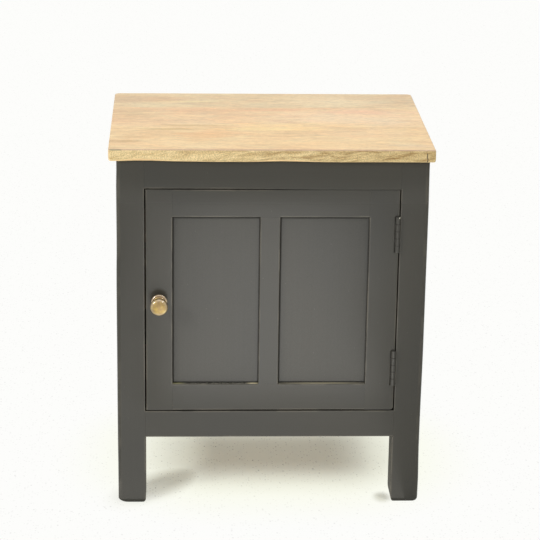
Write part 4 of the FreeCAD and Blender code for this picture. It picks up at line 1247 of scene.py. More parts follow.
@dataclass
class Top:
    """The three boards of the top.

    Attributes:
        upper_ease: The radius of the upper arris.
        upper_swing: How much that radius varies along the board.
        swing_seed: Which way it varies.
        lower_eases: The radius of the lower arris, in millimetres, at shares of the board's length.
        end_ease: The radius of the lower arris at the board's ends.
        corners: The radii of the left and right corners of the outer boards, seen from above.
        joint: The hairline at a glued joint.
    """

    upper_ease: float = 1.7 * MM
    upper_swing: float = 0.8 * MM
    swing_seed: int = 8
    lower_eases: Sequence[Pair] = (
        (0.0, 6.0), (0.042, 6.8), (0.08, 9.2), (0.13, 9.0), (0.188, 6.0),
        (0.28, 3.8), (0.36, 2.6), (0.44, 3.4), (0.48, 5.9), (0.525, 7.8),
        (0.59, 6.1), (0.663, 3.3), (0.72, 2.4), (0.847, 3.9), (1.0, 2.7),
    )
    end_ease: float = 2.6 * MM
    corners: dict[str, Pair] = field(
        default_factory=lambda: {"front": (5 * MM, 1 * MM), "middle": (0, 0), "rear": (9 * MM, 8 * MM)}
    )
    joint: float = 0.06 * MM

    def finishes(self, edge: SawnEdge) -> dict[str, PaleWood]:
        """The wood of each board.

        Args:
            edge: The top's sawn front edge.

        Returns:
            The finishes by the boards' names.
        """
        rear = (seen(221, 193, 155), seen(229, 205, 165), seen(235, 212, 172))
        middle = (seen(229, 195, 155), seen(236, 205, 163), seen(240, 212, 169))
        near = (seen(225, 193, 149), seen(233, 203, 157), seen(239, 211, 165))
        rear_patches = (
            Patch((0.11, 0.13), (0.1, 0.05), seen(240, 220, 184), 0.55),
            Patch((-0.205, 0.135), (0.035, 0.03), seen(208, 187, 156), 0.4),
            Patch((-0.115, 0.123), (0.05, 0.006), seen(240, 219, 170), 0.7),
            Patch((0.19, 0.135), (0.04, 0.028), seen(206, 182, 148), 0.35),
            Patch((0.145, 0.145), (0.03, 0.012), seen(208, 188, 152), 0.35),
            Patch((0.0, 0.1), (0.08, 0.015), seen(212, 187, 152), 0.35),
        )
        middle_patches = (
            Patch((0.12, 0.03), (0.13, 0.055), seen(247, 221, 186), 0.6),
            Patch((-0.2, 0.05), (0.045, 0.05), seen(212, 180, 138), 0.5),
            Patch((-0.085, 0.07), (0.07, 0.014), seen(238, 196, 152), 0.7),
            Patch((0.015, 0.072), (0.05, 0.012), seen(238, 192, 150), 0.8),
            Patch((0.13, 0.06), (0.09, 0.014), seen(236, 196, 162), 0.7),
            Patch((-0.1, -0.022), (0.08, 0.006), seen(208, 172, 120), 0.6),
            Patch((0.16, 0.0), (0.05, 0.03), seen(236, 212, 176), 0.5),
            Patch((0.04, -0.02), (0.12, 0.016), seen(246, 214, 158), 0.6),
        )
        near_patches = (
            Patch((0.01, -0.038), (0.085, 0.015), seen(249, 221, 164), 0.7),
            Patch((-0.085, -0.075), (0.05, 0.03), seen(238, 192, 142), 0.55),
            Patch((-0.15, -0.045), (0.06, 0.007), seen(206, 172, 120), 0.6),
            Patch((-0.205, -0.115), (0.03, 0.008), seen(198, 166, 122), 0.6),
            Patch((-0.2, -0.09), (0.035, 0.005), seen(200, 168, 124), 0.5),
            Patch((0.19, -0.135), (0.05, 0.012), seen(216, 192, 160), 0.6),
            Patch((0.02, -0.12), (0.12, 0.015), seen(244, 214, 164), 0.5),
            Patch((-0.1, -0.09), (0.07, 0.03), seen(226, 188, 140), 0.4),
            Patch((0.13, -0.07), (0.08, 0.03), seen(245, 217, 176), 0.5),
        )
        return {
            "front": PaleWood("pale_wood_front", Along.X, near, (4.3, 7.1, 0.6), near_patches, edge),
            "middle": PaleWood("pale_wood_middle", Along.X, middle, (1.2, 3.9, 2.2), middle_patches),
            "rear": PaleWood("pale_wood_rear", Along.X, rear, (8.4, 0.7, 5.1), rear_patches),
        }

    def build(self) -> None:
        """Lofts and dresses the boards."""
        front_low, front_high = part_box("top_board_front")
        edge = SawnEdge(front_low.y, front_high.z)
        for name, finish in self.finishes(edge).items():
            node = f"top_board_{name}"
            low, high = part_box(node)
            ends = []
            for radius in self.corners[name]:
                front, rear = (radius, 0.0) if name == "front" else (0.0, radius)
                radii = (front, rear, self.end_ease, self.upper_ease)
                ends.append(tuple(Rounding(part, part) for part in radii))
            bar = Bar(low, high, Along.X, self.eases(name, low.x, high.x), *ends)
            install_bar(bar, node, Body.CARCASS, finish.material())

    def eases(self, name: str, first: float, last: float) -> Keys:
        """The radii of a board's long edges, which swing along the sawn ones.

        Args:
            name: Which board.
            first: Where it starts.
            last: Where it ends.

        Returns:
            The radii at places along the board.
        """
        swing = Wave(self.swing_seed)
        hairline = (self.joint, self.joint)
        keys = []
        for share, radius in self.lower_eases:
            place = first + (last - first) * share
            sawn = (radius * MM, self.upper_ease + self.upper_swing * (swing.at(place) - 0.5))
            front_under, front_over = sawn if name == "front" else hairline
            rear_under, rear_over = sawn if name == "rear" else hairline
            keys.append((place, (front_under, rear_under, rear_over, front_over)))
        return keys


@dataclass
class Carcass:
    """The legs, rails and panels of the painted carcass, with its floor and shelf.

    Attributes:
        outer_ease: The radius of the legs' outer edges.
        free_ease: The radius of the edges of the free part of a leg.
        door_ease: The radius of the edges round the door.
        under_ease: The radius of the bottom rails' lower edges.
        panel_ease: The radius of the panels' edges.
        board_ease: How far the edges of the floor and the shelf are eased.
        hidden_ease: The radius of edges that paint fills.
        line_ease: The radius where a joint shows as a faint line.
        end_foot: The rounding of the feet towards the front and back.
        side_foot: Their rounding towards the sides.
        broad_foot: The broader rounding of the left front foot's outer side.
        worn_foot: The taller rounding of the right front foot's inner side.
        closing: How far the gap over the door has closed, at millimetres along the top rail.
        least_gap: What is left of that gap where it has closed.
        uneven: How far the members' sides wander.
        leg_seed: Which wander the first leg has.
        rail_seed: Which wander the first rail has.
        outer_bows: How far the front legs' outer sides bow in at heights over the floor, in millimetres.
        spread: How much wider the front legs are inwards under the bottom rail.
        shoulder: How far under that rail the wide part ends and the narrow part starts.
        taper: The length over which a side rail comes back out from the front leg's bow.
        board_fit: The room between the legs and the boards that are cut round them.
        tones: The dark, middle and light colours of those boards.
    """

    outer_ease: float = 5 * MM
    free_ease: float = 1.1 * MM
    door_ease: float = 0.9 * MM
    under_ease: float = 1.2 * MM
    panel_ease: float = 0.4 * MM
    board_ease: float = 0.9 * MM
    hidden_ease: float = 0.1 * MM
    line_ease: float = 0.35 * MM
    end_foot: Rounding = Rounding(1.6 * MM, 1.6 * MM)
    side_foot: Rounding = Rounding(5 * MM, 5.5 * MM)
    broad_foot: Rounding = Rounding(13 * MM, 6 * MM)
    worn_foot: Rounding = Rounding(4.4 * MM, 13 * MM)
    closing: Sequence[Pair] = ((-60, 0.0), (-20, 0.3), (35, 0.75), (65, 1.0), (130, 1.0), (150, 0.9))
    least_gap: float = 0.3 * MM
    uneven: float = 0.12 * MM
    leg_seed: int = 20
    rail_seed: int = 40
    outer_bows: dict[str, Sequence[Pair]] = field(
        default_factory=lambda: {
            "left": (
                (0, 0.4), (61, 0.3), (85, 0.1), (330, 0), (352, 0.15),
                (376, 0.6), (400, 0.77), (473, 0.65), (497, 1.15),
            ),
            "right": (
                (0, 0.5), (36, 0.05), (61, 0.5), (85, 0.88), (133, 0.83),
                (158, 0.64), (200, 0.2), (230, 0), (448, 0), (497, 0.6),
            ),
        }
    )
    spread: dict[str, float] = field(default_factory=lambda: {"left": 0.6 * MM, "right": 1.3 * MM})
    shoulder: Pair = (0.6 * MM, 0.2 * MM)
    taper: float = 90 * MM
    board_fit: float = 0.5 * MM
    tones: tuple[Colour, Colour, Colour] = (seen(172, 132, 90), seen(190, 150, 104), seen(206, 170, 124))

    def build(self) -> None:
        """Lofts and dresses every member."""
        paints = {
            along: SatinPaint(f"charcoal_paint_{along.name.lower()}", along, dullest=0.0).material()
            for along in Along
        }
        leg_paint = LegPaint("charcoal_paint_leg", Along.Z).material()
        for end in ("front", "rear"):
            for side in ("left", "right"):
                self.build_leg(end, side, leg_paint)
        self.build_rails(paints)
        self.build_panels(paints[Along.Z])
        self.build_boards()

    def build_leg(self, end: str, side: str, paint: Material) -> None:
        """Lofts one leg.

        Args:
            end: Front or rear.
            side: Left or right.
            paint: Its finish.
        """
        node = f"leg_{end}_{side}"
        low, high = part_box(node)
        lower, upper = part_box("front_bottom_rail"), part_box("front_top_rail")
        levels = [
            (0.0, self.free_ease),
            (lower[0].z - 2 * EASE_STEP, self.free_ease),
            (lower[0].z + 2 * EASE_STEP, self.line_ease),
            (lower[1].z - EASE_STEP, self.line_ease),
            (lower[1].z + EASE_STEP, self.door_ease),
            (upper[0].z - EASE_STEP, self.door_ease),
            (upper[0].z + EASE_STEP, self.hidden_ease),
        ]
        outer = LEGS.index((end, side))
        inner = (outer + 2) % 4
        eases = []
        for level, radius in levels:
            corners = [radius] * 4
            corners[outer] = self.outer_ease
            corners[inner] = max(radius, self.door_ease)
            eases.append((level, tuple(corners)))
        foot = [self.side_foot, self.side_foot, self.end_foot, self.end_foot]
        bows = STRAIGHT
        if end == "front":
            foot[0] = self.broad_foot if side == "left" else self.worn_foot
            bows = self.front_leg_bows(side, lower[0].z)
        seed = self.leg_seed + outer
        bar = Bar(low, high, Along.Z, eases, tuple(foot), uneven=self.uneven, seed=seed, bows=bows)
        install_bar(bar, node, Body.CARCASS, paint)

    def bow(self, side: str, height: float) -> float:
        """How far a front leg's outer side bows in at a height over the floor."""
        keys = [(level * MM, (inset * MM,) * 4) for level, inset in self.outer_bows[side]]
        return between(keys, height)[0]

    def front_leg_bows(self, side: str, rail: float) -> Keys:
        """How a front leg's outer side bows in and its inner side spreads out under the bottom rail.

        Args:
            side: Left or right.
            rail: The level of the bottom rail's underside.

        Returns:
            The insets of the leg's four sides at heights over the floor.
        """
        wide, narrow = (rail - depth for depth in self.shoulder)
        heights = sorted({wide, narrow, *(level * MM for level, _ in self.outer_bows[side])})
        keys = []
        for height in heights:
            outer = self.bow(side, height)
            inner = -self.spread[side] if height < (wide + narrow) / 2 else 0.0
            sides = (outer, inner) if side == "left" else (inner, outer)
            keys.append((height, (*sides, 0.0, 0.0)))
        return keys

    def build_rails(self, paints: dict[Along, Material]) -> None:
        """Lofts the eight rails between the legs' faces.

        Args:
            paints: The finish for each way a rail runs.
        """
        near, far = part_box("leg_front_left")[1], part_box("leg_rear_right")[0]
        front_paint = SatinPaint("charcoal_paint_front", Along.X).material()
        seed = self.rail_seed
        for wall, along in (("front", Along.X), ("rear", Along.X), ("left", Along.Y), ("right", Along.Y)):
            for level in ("top", "bottom"):
                node = f"{wall}_{level}_rail"
                low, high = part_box(node)
                low[along.value] = near[along.value]
                high[along.value] = far[along.value]
                upper = self.hidden_ease if level == "top" else self.door_ease
                lower = self.door_ease if level == "top" else self.under_ease
                eases = (lower, lower, upper, upper) if along is Along.X else (lower, upper, upper, lower)
                bar = Bar(low, high, along, [(0.0, eases)], uneven=self.uneven, seed=seed)
                if node == "front_top_rail":
                    self.close_gap(bar)
                if along is Along.Y:
                    self.follow_leg(bar, wall)
                seed += 1
                install_bar(bar, node, Body.CARCASS, front_paint if wall == "front" else paints[along])

    def close_gap(self, rail: Bar) -> None:
        """Lets the front top rail down towards the door and sharpens its edge there.

        Args:
            rail: The rail.
        """
        gap = rail.low.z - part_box("door_top_rail")[1].z - self.least_gap
        _, (ease, *others) = rail.eases[0]
        places = [(along * MM, shut) for along, shut in self.closing]
        rail.eases = [(x, (ease + (self.hidden_ease - ease) * shut, *others)) for x, shut in places]
        rail.bows = [(x, (0.0, 0.0, -gap * shut, 0.0)) for x, shut in places]

    def follow_leg(self, rail: Bar, side: str) -> None:
        """Draws the front end of a side rail in with the front leg's bow.

        Args:
            rail: The rail.
            side: Left or right.
        """
        inset = self.bow(side, (rail.low.z + rail.high.z) / 2)
        front = (0.0, 0.0, inset, 0.0) if side == "left" else (0.0, 0.0, 0.0, inset)
        rail.bows = [(rail.low.y, front), (rail.low.y + self.taper, (0.0,) * 4)]

    def build_panels(self, paint: Material) -> None:
        """Lofts the side and back panels.

        Args:
            paint: Their finish.
        """
        for node in ("left_side_panel", "right_side_panel", "back_panel"):
            bar = Bar(*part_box(node), Along.Z, [(0.0, (self.panel_ease,) * 4)])
            install_bar(bar, node, Body.CARCASS, paint)

    def build_boards(self) -> None:
        """Cuts the floor and the shelf round the legs, with eased edges."""
        wood = PaleWood("planed_wood_x", Along.X, self.tones, (2.5, 9.1, 1.4)).material()
        near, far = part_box("leg_front_left")[1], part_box("leg_rear_right")[0]
        left, front = near.x + self.board_fit, near.y + self.board_fit
        right, rear = far.x - self.board_fit, far.y - self.board_fit
        for node in ("floor_board", "shelf"):
            low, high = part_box(node)
            outline = (
                (left, low.y), (right, low.y), (right, front), (high.x, front),
                (high.x, rear), (right, rear), (right, high.y), (left, high.y),
                (left, rear), (low.x, rear), (low.x, front), (left, front),
            )
            board = cut_board(f"{node}_shaped", outline, low.z, high.z, self.board_ease)
            install(board, node, Body.CARCASS, wood)


@dataclass
class Door:
    """The panelled door with its knob.

    Attributes:
        outer_ease: The radius of the door's outer edges.
        panel_ease: The radius of the edges round the panels.
        loose_ease: The radius of the panels' own edges.
        hidden_ease: The radius of edges that paint fills.
        worn_corner: The rounding of the lower corner on the hinge side.
        uneven: How far the members' sides wander.
        seeds: Which wander each member has.
        leaf_fit: The room round a hinge's leaf in its bed.
        barrel_relief: The room beside a hinge's barrel.
        bare_depth: How far behind the door's face the wood of the ledge is bare.
        rosette_rosy: How far the rosette has paled to a rosy white.
        knob_outline: The knob's radius and height as shares, from its foot to its crown.
        rosette_outline: The rosette's radius and height as shares.
    """

    outer_ease: float = 1.1 * MM
    panel_ease: float = 1.1 * MM
    loose_ease: float = 0.5 * MM
    hidden_ease: float = 0.1 * MM
    worn_corner: float = 4 * MM
    uneven: float = 0.12 * MM
    seeds: dict[str, int] = field(
        default_factory=lambda: {"lock": 70, "hinge": 71, "bottom": 74, "top": 75, "muntin": 77}
    )
    leaf_fit: float = 0.12 * MM
    barrel_relief: float = 0.8 * MM
    bare_depth: float = 4 * MM
    rosette_rosy: float = 0.18
    knob_outline: Sequence[Pair] = (
        (0.2, 0.0), (0.68, 0.0), (0.705, 0.01), (0.708, 0.03), (0.66, 0.05), (0.58, 0.085),
        (0.5, 0.14), (0.44, 0.2), (0.42, 0.26), (0.43, 0.32), (0.48, 0.385), (0.57, 0.44),
        (0.68, 0.49), (0.78, 0.525), (0.88, 0.57), (0.95, 0.62), (0.985, 0.67), (1.0, 0.715),
        (1.0, 0.75), (0.99, 0.79), (0.965, 0.828), (0.925, 0.862), (0.87, 0.893), (0.8, 0.92),
        (0.7, 0.947), (0.58, 0.969), (0.44, 0.984), (0.28, 0.994), (0.1, 0.9992),
    )
    rosette_outline: Sequence[Pair] = (
        (0.2, 0.0), (1.0, 0.0), (1.0, 0.5), (0.992, 0.66), (0.97, 0.8),
        (0.935, 0.91), (0.89, 0.98), (0.85, 1.0), (0.2, 1.0),
    )

    def build(self) -> None:
        """Lofts and dresses the frame, the panels and the knob."""
        upright = SatinPaint("door_paint_upright", Along.Z).material()
        level = SatinPaint("door_paint_level", Along.X).material()
        face, sight_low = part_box("door_bottom_rail")[0].y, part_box("door_bottom_rail")[1].z
        sight_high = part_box("door_top_rail")[0].z
        self.build_stiles(upright, sight_low, sight_high)
        self.build_rails({"bottom": self.ledge_finish(face, sight_low), "top": level})
        self.build_muntin(upright, sight_low, sight_high)
        self.build_panels(sight_low, sight_high)
        self.build_knob()

    def ledge_finish(self, front: float, level: float) -> Material:
        """The paint of the bottom rail, with the dust, lit by painted light, and the bare wood on its
        ledge.

        Args:
            front: The place of the rail's face.
            level: The level of its ledge.

        Returns:
            The material.
        """
        back = front + self.bare_depth
        bare = (
            Patch((-0.131, back), (0.012, 0.006), seen(150, 146, 106), 0.9),
            Patch((-0.022, back), (0.01, 0.006), seen(226, 214, 176), 0.95),
            Patch((0.075, back), (0.06, 0.005), seen(176, 168, 140), 0.8),
        )
        return LedgePaint("door_paint_ledge", Along.X, ledge=level, front=front, bare=bare).material()

    def build_stiles(self, paint: Material, sight_low: float, sight_high: float) -> None:
        """Lofts the two stiles.

        Args:
            paint: Their finish.
            sight_low: The level at which the panels come into sight.
            sight_high: The level at which they go out of it.
        """
        levels = [
            (0.0, self.hidden_ease),
            (sight_low - EASE_STEP, self.hidden_ease),
            (sight_low + EASE_STEP, self.panel_ease),
            (sight_high - EASE_STEP, self.panel_ease),
            (sight_high + EASE_STEP, self.hidden_ease),
        ]
        eases = [(z, (self.outer_ease, inner, inner, self.outer_ease)) for z, inner in levels]
        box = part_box("door_lock_stile")
        lock = Bar(*box, Along.Z, eases, uneven=self.uneven, seed=self.seeds["lock"])
        install_bar(lock, "door_lock_stile", Body.DOOR, paint)

        square, worn = Rounding(), Rounding(self.worn_corner, self.worn_corner)
        leaves = [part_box(f"{level}_hinge_door_leaf") for level in ("lower", "upper")]
        leaf_low, leaf_high = leaves[0]
        pin_low, pin_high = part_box("lower_hinge_pin")
        axis_y = (pin_low.y + pin_high.y) / 2
        radius = axis_y - leaf_low.y
        hinged = HingedBar(
            *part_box("door_hinge_stile"),
            along=Along.Z,
            eases=[(z, (inner, self.outer_ease, self.outer_ease, inner)) for z, inner in levels],
            start=(square, worn, square, square),
            uneven=self.uneven,
            seed=self.seeds["hinge"],
            notches=[(low.z - self.leaf_fit, high.z + self.leaf_fit) for low, high in leaves],
            barrel_side=leaf_low.x - self.barrel_relief,
            leaf_side=leaf_low.x,
            barrel_back=axis_y + radius + self.barrel_relief,
            leaf_back=leaf_high.y + self.leaf_fit,
        )
        install_bar(hinged, "door_hinge_stile", Body.DOOR, paint)

    def build_rails(self, finishes: dict[str, Material]) -> None:
        """Lofts the two rails between the stiles.

        Args:
            finishes: Their finishes by their names.
        """
        left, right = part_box("door_lock_stile")[1].x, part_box("door_hinge_stile")[0].x
        muntin_left, muntin_right = (corner.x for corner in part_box("door_muntin"))
        runs = [
            (left, self.panel_ease),
            (muntin_left - EASE_STEP, self.panel_ease),
            (muntin_left + EASE_STEP, self.hidden_ease),
            (muntin_right - EASE_STEP, self.hidden_ease),
            (muntin_right + EASE_STEP, self.panel_ease),
        ]
        for name, finish in finishes.items():
            node = f"door_{name}_rail"
            low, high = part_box(node)
            low.x, high.x = left, right
            eases = [(x, (self.outer_ease, self.outer_ease, ease, ease)) for x, ease in runs]
            if name == "top":
                eases = [(x, (ease, ease, self.outer_ease, self.closed_ease(x))) for x, ease in runs]
            bar = Bar(low, high, Along.X, eases, uneven=self.uneven, seed=self.seeds[name])
            install_bar(bar, node, Body.DOOR, finish)

    def closed_ease(self, place: float) -> float:
        """The radius of the door's upper front edge, which is sharp where the gap over it closes."""
        return self.outer_ease if place < 0.0 else self.hidden_ease

    def build_muntin(self, paint: Material, sight_low: float, sight_high: float) -> None:
        """Lofts the muntin between the rails.

        Args:
            paint: Its finish.
            sight_low: The level of its foot.
            sight_high: The level of its head.
        """
        low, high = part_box("door_muntin")
        low.z, high.z = sight_low, sight_high
        eases = [(0.0, (self.panel_ease,) * 4)]
        bar = Bar(low, high, Along.Z, eases, uneven=self.uneven, seed=self.seeds["muntin"])
        install_bar(bar, "door_muntin", Body.DOOR, paint)

    def build_panels(self, sight_low: float, sight_high: float) -> None:
        """Lofts the two loose panels.

        Args:
            sight_low: The level at which they come into sight.
            sight_high: The level at which they go out of it.
        """
        muntin_left, muntin_right = (corner.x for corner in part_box("door_muntin"))
        edges = {
            "left": (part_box("door_lock_stile")[1].x, muntin_left),
            "right": (muntin_right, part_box("door_hinge_stile")[0].x),
        }
        for side, (left, right) in edges.items():
            node = f"door_panel_{side}"
            sight = (left, right, sight_low, sight_high)
            paint = PanelPaint(f"door_paint_panel_{side}", Along.Z, sight=sight).material()
            bar = Bar(*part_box(node), Along.Z, [(0.0, (self.loose_ease,) * 4)])
            install_bar(bar, node, Body.DOOR, paint)

    def build_knob(self) -> None:
        """Turns the knob and its rosette."""
        outlines = {
            "knob": (self.knob_outline, 0.0),
            "knob_rosette": (self.rosette_outline, self.rosette_rosy),
        }
        for node, (outline, rosy) in outlines.items():
            low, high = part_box(node)
            centre = Vector(((low.x + high.x) / 2, high.y, (low.z + high.z) / 2))
            radius, reach = (high.x - low.x) / 2, high.y - low.y
            profile = [(share * radius, out * reach) for share, out in outline]
            brass = AgedBrass(f"aged_brass_{node}", tuple(centre), rosy).material()
            install(turned(f"{node}_turned", profile, centre), node, Body.DOOR, brass)


@dataclass
class Fittings:
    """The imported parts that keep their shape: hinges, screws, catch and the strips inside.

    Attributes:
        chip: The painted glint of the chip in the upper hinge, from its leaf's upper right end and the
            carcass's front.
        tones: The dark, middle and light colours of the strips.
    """

    chip: Point = (-1.5 * MM, -4 * MM, -1 * MM)
    tones: tuple[Colour, Colour, Colour] = (seen(162, 124, 84), seen(182, 144, 100), seen(198, 162, 116))

    def finishes(self) -> dict[Slot, Material]:
        """Builds the finish of each slot.

        Returns:
            The materials by their slots.
        """
        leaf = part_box("upper_hinge_frame_leaf")[1]
        chip = tuple(Vector((leaf.x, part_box("front_top_rail")[0].y, leaf.z)) + Vector(self.chip))
        finishes = {
            Slot.PAINTED_HINGE: HingePaint(
                "hinge_paint", Along.Z, tone=seen(58, 57, 54), warm=seen(62, 60, 56), chip=chip
            ),
            Slot.ZINC_STEEL: PlainMetal(
                "zinc_plate", seen(150, 148, 140), seen(196, 194, 186), metallic=1.0, roughness=0.36
            ),
            Slot.FERRITE: PlainMetal(
                "ferrite_body", seen(52, 51, 52), seen(70, 69, 70), metallic=0.1, roughness=0.6
            ),
            Slot.CATCH_PLASTIC: MouldedPlastic("brown_plastic", seen(108, 72, 46)),
            Slot.INNER_WOOD: PaleWood("planed_wood_y", Along.Y, self.tones, (5, 2, 7)),
        }
        return {slot: finish.material() for slot, finish in finishes.items()}

    def build(self) -> None:
        """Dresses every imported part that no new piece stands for."""
        finishes = self.finishes()
        for row in frame["record"]["subparts"]:
            piece = frame["nodes"][row["node"]]
            if not piece.hide_render:
                dress(piece, finishes[Slot(row["material_slot"])])
                LOG.info("%s keeps its shape", piece.name)


def area_light(name: str, size: Pair, power: float) -> Piece:
    """A flat light that the camera doesn't see.

    Args:
        name: Its name.
        size: Its width and depth.
        power: Its power in watts.

    Returns:
        The light, which is square until its shape is set.
    """
    data = bpy.data.lights.new(name, "AREA")
    data.size, data.size_y = size
    data.energy = power
    light = bpy.data.objects.new(name, data)
    light.visible_camera = False
    bpy.context.scene.collection.objects.link(light)
    return light


@dataclass(frozen=True)
class Softbox:
    """A square light that hangs round the object and faces it.

    Attributes:
        name: Its name.
        azimuth: How far to the right of the front it hangs, in degrees.
        height: How high it hangs, in degrees.
        distance: How far away it hangs.
        size: Its width.
        power: Its power in watts.
    """

    name: str
    azimuth: float
    height: float
    distance: float
    size: float
    power: float

    def hang(self) -> None:
        """Hangs the light."""
        aside, up = math.radians(self.azimuth), math.radians(self.height)
        place = Vector((math.sin(aside) * math.cos(up), -math.cos(aside) * math.cos(up), math.sin(up)))
        light = area_light(self.name, (self.size, self.size), self.power)
        light.location = place * self.distance
        light.rotation_euler = place.to_track_quat("Z", "Y").to_euler()


@dataclass(frozen=True)
class FloorCard:
    """A bright card that lies on the floor, face up, and that the door's satin paint mirrors.

    Attributes:
        name: Its name.
        size: Its width and depth.
        middle: Where its middle lies.
        power: Its power in watts.
        level: How high over the floor it lies.
        colour: Its colour.
    """

    name: str
    size: Pair
    middle: Pair
    power: float
    level: float = 4 * MM
    colour: Colour = (1.0, 0.985, 0.95)

    def lay(self) -> None:
        """Lays the card."""
        card = area_light(self.name, self.size, self.power)
        card.data.shape = "RECTANGLE"
        card.data.color = self.colour
        card.location = (*self.middle, self.level)
        card.rotation_euler = (math.pi, 0.0, 0.0)


def surround(tree: bpy.types.NodeTree) -> Socket:
    """Whether a ray comes from the camera, or by way of a mirror or glass.

    Args:
        tree: The node tree that asks.

    Returns:
        A socket that is one for such rays.
    """
    path = tree.nodes.new("ShaderNodeLightPath")
    answer = path.outputs["Is Camera Ray"]
    for name in ("Is Glossy Ray", "Is Transmission Ray"):
        either = tree.nodes.new("ShaderNodeMath")
        either.operation = "MAXIMUM"
        tree.links.new(answer, either.inputs[0])
        tree.links.new(path.outputs[name], either.inputs[1])
        answer = either.outputs[0]
    return answer


@dataclass(frozen=True)
class SpeckledFloor:
    """A pale speckled floor that keeps the object's shadow and fades to white away from it.

    Attributes:
        name: The material's name.
        white: The white that it fades to.
        near_white: The white near the object.
        whitening: How far from the kept shadow the near white starts to give way, and where it ends.
        tones: The dark and light colours of the floor itself.
        speck: The colour of its specks.
        foot_half: Half the width and depth of the floor that keeps most of the object's shadow.
        foot_middle: The middle of that floor.
        foot_fade: How far from it the shadow has faded.
        foot_faded: How far the shadow has faded on it, from nought to one.
        beside_feet: The middle, turn and size of the shadows kept beside the front feet.
        beside_core: How much of their size they are deepest over.
        beside_faded: How far they have faded there.
    """

    name: str
    white: Colour
    near_white: Colour = seen(250, 251, 236)
    whitening: Pair = (0.08, 0.26)
    tones: tuple[Colour, Colour] = (seen(236, 239, 214), seen(243, 245, 226))
    speck: Colour = seen(134, 128, 104)
    foot_half: Pair = (0.082, 0.024)
    foot_middle: Point = (0.012, 0.031, 0.0)
    foot_fade: float = 0.15
    foot_faded: float = 0.27
    beside_feet: Sequence[tuple[Pair, float, Pair]] = (
        ((-0.145, -0.074), -0.72, (0.055, 0.145)),
        ((0.168, -0.136), 0.0, (0.018, 0.026)),
    )
    beside_core: float = 0.2
    beside_faded: float = 0.38

    def material(self) -> Material:
        """Builds the floor's material, which glows white as painted light where the shadow has faded.

        Returns:
            The material.
        """
        graph = Graph(self.name)
        cloud = graph.noise(graph.place(), scale=24, detail=4)
        colour = graph.spread(cloud, self.tones)
        fine = graph.specks(graph.place(), scale=240, radius=0.34, share=0.3)
        coarse = graph.specks(graph.place(scale=(1, 0.6, 1)), scale=110, radius=0.18, share=0.24)
        specks = graph.most(graph.times(fine, 0.65), graph.times(coarse, 0.8))
        graph.surface("Base Color", graph.blend(specks, colour, self.speck))
        graph.surface("Roughness", graph.vary(cloud, 0.55, 0.7))
        graph.surface("Specular IOR Level", 0.2)
        graph.relief(cloud, strength=0.1, depth=0.3 * MM)
        away = self.from_foot(graph)
        tinted = graph.blend(graph.span(away, *self.whitening), self.near_white, self.white)
        speckled = graph.blend(graph.times(specks, 0.16), tinted, (0, 0, 0))
        # Painted light: for camera and mirror rays the floor glows white, partly even inside the shadow
        white = graph.node("ShaderNodeEmission", {"Color": speckled})
        faded = graph.times(self.faded(graph, away), surround(graph.tree))
        feeds = {0: faded, 1: graph.shader.outputs[0], 2: white.outputs[0]}
        graph.feed(graph.output.inputs[0], graph.node("ShaderNodeMixShader", feeds).outputs[0])
        return graph.material

    def from_foot(self, graph: Graph) -> Socket:
        """How far a place on the floor is from the part that keeps most of the shadow.

        Args:
            graph: The material's graph.

        Returns:
            A socket with the distance.
        """
        shifted = graph.place(shift=tuple(-part for part in self.foot_middle))
        outside = {}
        for along, half in zip((Along.X, Along.Y), self.foot_half):
            from_middle = graph.maths("ABSOLUTE", graph.axis(shifted, along))
            outside[along.value] = graph.most(graph.maths("SUBTRACT", from_middle, half), 0.0)
        return graph.length(graph.node("ShaderNodeCombineXYZ", outside).outputs[0])

    def faded(self, graph: Graph, away: Socket) -> Socket:
        """How far the object's shadow has faded at a place on the floor.

        Args:
            graph: The material's graph.
            away: How far the place is from the part that keeps most of the shadow.

        Returns:
            A socket from nought to one, where only white is left.
        """
        faded = graph.span(away, 0.0, self.foot_fade, self.foot_faded, 1.0)
        for middle, turn, size in self.beside_feet:
            feeds = {
                "Vector": graph.place(),
                "Location": (*middle, 0.0),
                "Rotation": (0.0, 0.0, turn),
                "Scale": (*size, 1.0),
            }
            beside = graph.length(graph.node("ShaderNodeMapping", feeds, vector_type="TEXTURE").outputs[0])
            beside = graph.span(beside, self.beside_core, 1.0, self.beside_faded, 1.0)
            faded = graph.maths("MINIMUM", faded, beside)
        return faded


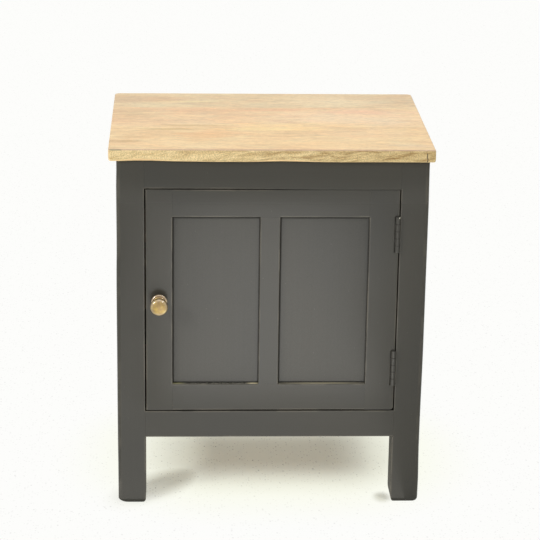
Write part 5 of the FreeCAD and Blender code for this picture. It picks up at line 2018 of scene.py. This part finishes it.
@dataclass
class Studio:
    """The pale floor, the white surround, the soft lights and the camera.

    Attributes:
        floor_half: Half the floor's width.
        white: The colour of the surround.
        ambient: The strength of the light from all round.
        softboxes: The lights that hang round the object.
        cards: The bright cards on the floor.
        eye: Where the camera stands.
        focal: Its focal length in millimetres.
        sensor: The width of its sensor in millimetres.
        pitch: How far it looks down, in radians.
        roll: How far it leans, in radians.
        yaw: How far it looks aside, in radians.
    """

    floor_half: float = 14.0
    white: Colour = seen(253, 253, 251)
    ambient: float = 0.32
    softboxes: Sequence[Softbox] = (
        Softbox("key_softbox", azimuth=-52, height=32, distance=2.6, size=0.35, power=24),
        Softbox("fill_softbox", azimuth=46, height=46, distance=2.6, size=0.35, power=13),
        Softbox("top_softbox", azimuth=0, height=88, distance=2.4, size=1.4, power=16),
    )
    cards: Sequence[FloorCard] = (
        FloorCard("near_card", size=(0.355, 0.545), middle=(0.0275, -0.8275), power=2.19),
        FloorCard("far_card", size=(0.413, 0.66), middle=(0.0435, -1.43), power=3.17),
        FloorCard("foot_card", size=(0.47, 0.36), middle=(-0.035, -0.332), power=0.55),
        FloorCard("side_card", size=(0.1, 0.65), middle=(-0.245, -0.8), power=0.25),
    )
    eye: Point = (-0.12763, -2.92798, 1.25857)
    focal: float = 139.46
    sensor: float = 36.0
    pitch: float = 0.3147
    roll: float = 0.0148
    yaw: float = -0.0456

    def build(self) -> None:
        """Sets up everything that is not the object."""
        scene = bpy.context.scene
        scene.view_settings.view_transform = "Standard"
        self.lay_floor()
        self.light_world(scene)
        for softbox in self.softboxes:
            softbox.hang()
        for card in self.cards:
            card.lay()
        self.set_camera(scene)

    def lay_floor(self) -> None:
        """Lays the floor under the object."""
        mesh = bmesh.new()
        bmesh.ops.create_grid(mesh, x_segments=8, y_segments=8, size=self.floor_half)
        floor = shown("studio_floor", mesh)
        dress(floor, SpeckledFloor("speckled_floor", self.white).material())

    def light_world(self, scene: bpy.types.Scene) -> None:
        """Surrounds the object with even light, which is white where it is seen.

        Args:
            scene: The scene to light.
        """
        world = bpy.data.worlds.new("white_surround")
        world.use_nodes = True
        tree = world.node_tree
        background = tree.nodes["Background"]
        strength = tree.nodes.new("ShaderNodeMapRange")
        tree.links.new(surround(tree), strength.inputs["Value"])
        strength.inputs["To Min"].default_value = self.ambient
        strength.inputs["To Max"].default_value = 1.0
        tree.links.new(strength.outputs[0], background.inputs["Strength"])
        background.inputs["Color"].default_value = (*self.white, 1.0)
        scene.world = world

    def set_camera(self, scene: bpy.types.Scene) -> None:
        """Stands the camera where the photograph was taken from.

        Args:
            scene: The scene that it looks at.
        """
        data = bpy.data.cameras.new("camera")
        data.lens = self.focal
        data.sensor_width = self.sensor
        camera = bpy.data.objects.new("camera", data)
        level = Matrix.Rotation(math.pi / 2 - self.pitch, 3, "X")
        turned_aside = Matrix.Rotation(self.yaw, 3, "Z") @ level @ Matrix.Rotation(self.roll, 3, "Z")
        camera.matrix_world = Matrix.Translation(self.eye) @ turned_aside.to_4x4()
        scene.collection.objects.link(camera)
        scene.camera = camera


def main() -> None:
    """Builds the object piece by piece, then the studio round it."""
    logging.basicConfig(level=logging.INFO, format="%(message)s")
    for part in (Top(), Carcass(), Door(), Fittings(), Studio()):
        LOG.info("building %s", type(part).__name__)
        part.build()
    bpy.context.view_layer.update()


if __name__ == "__main__":
    main()
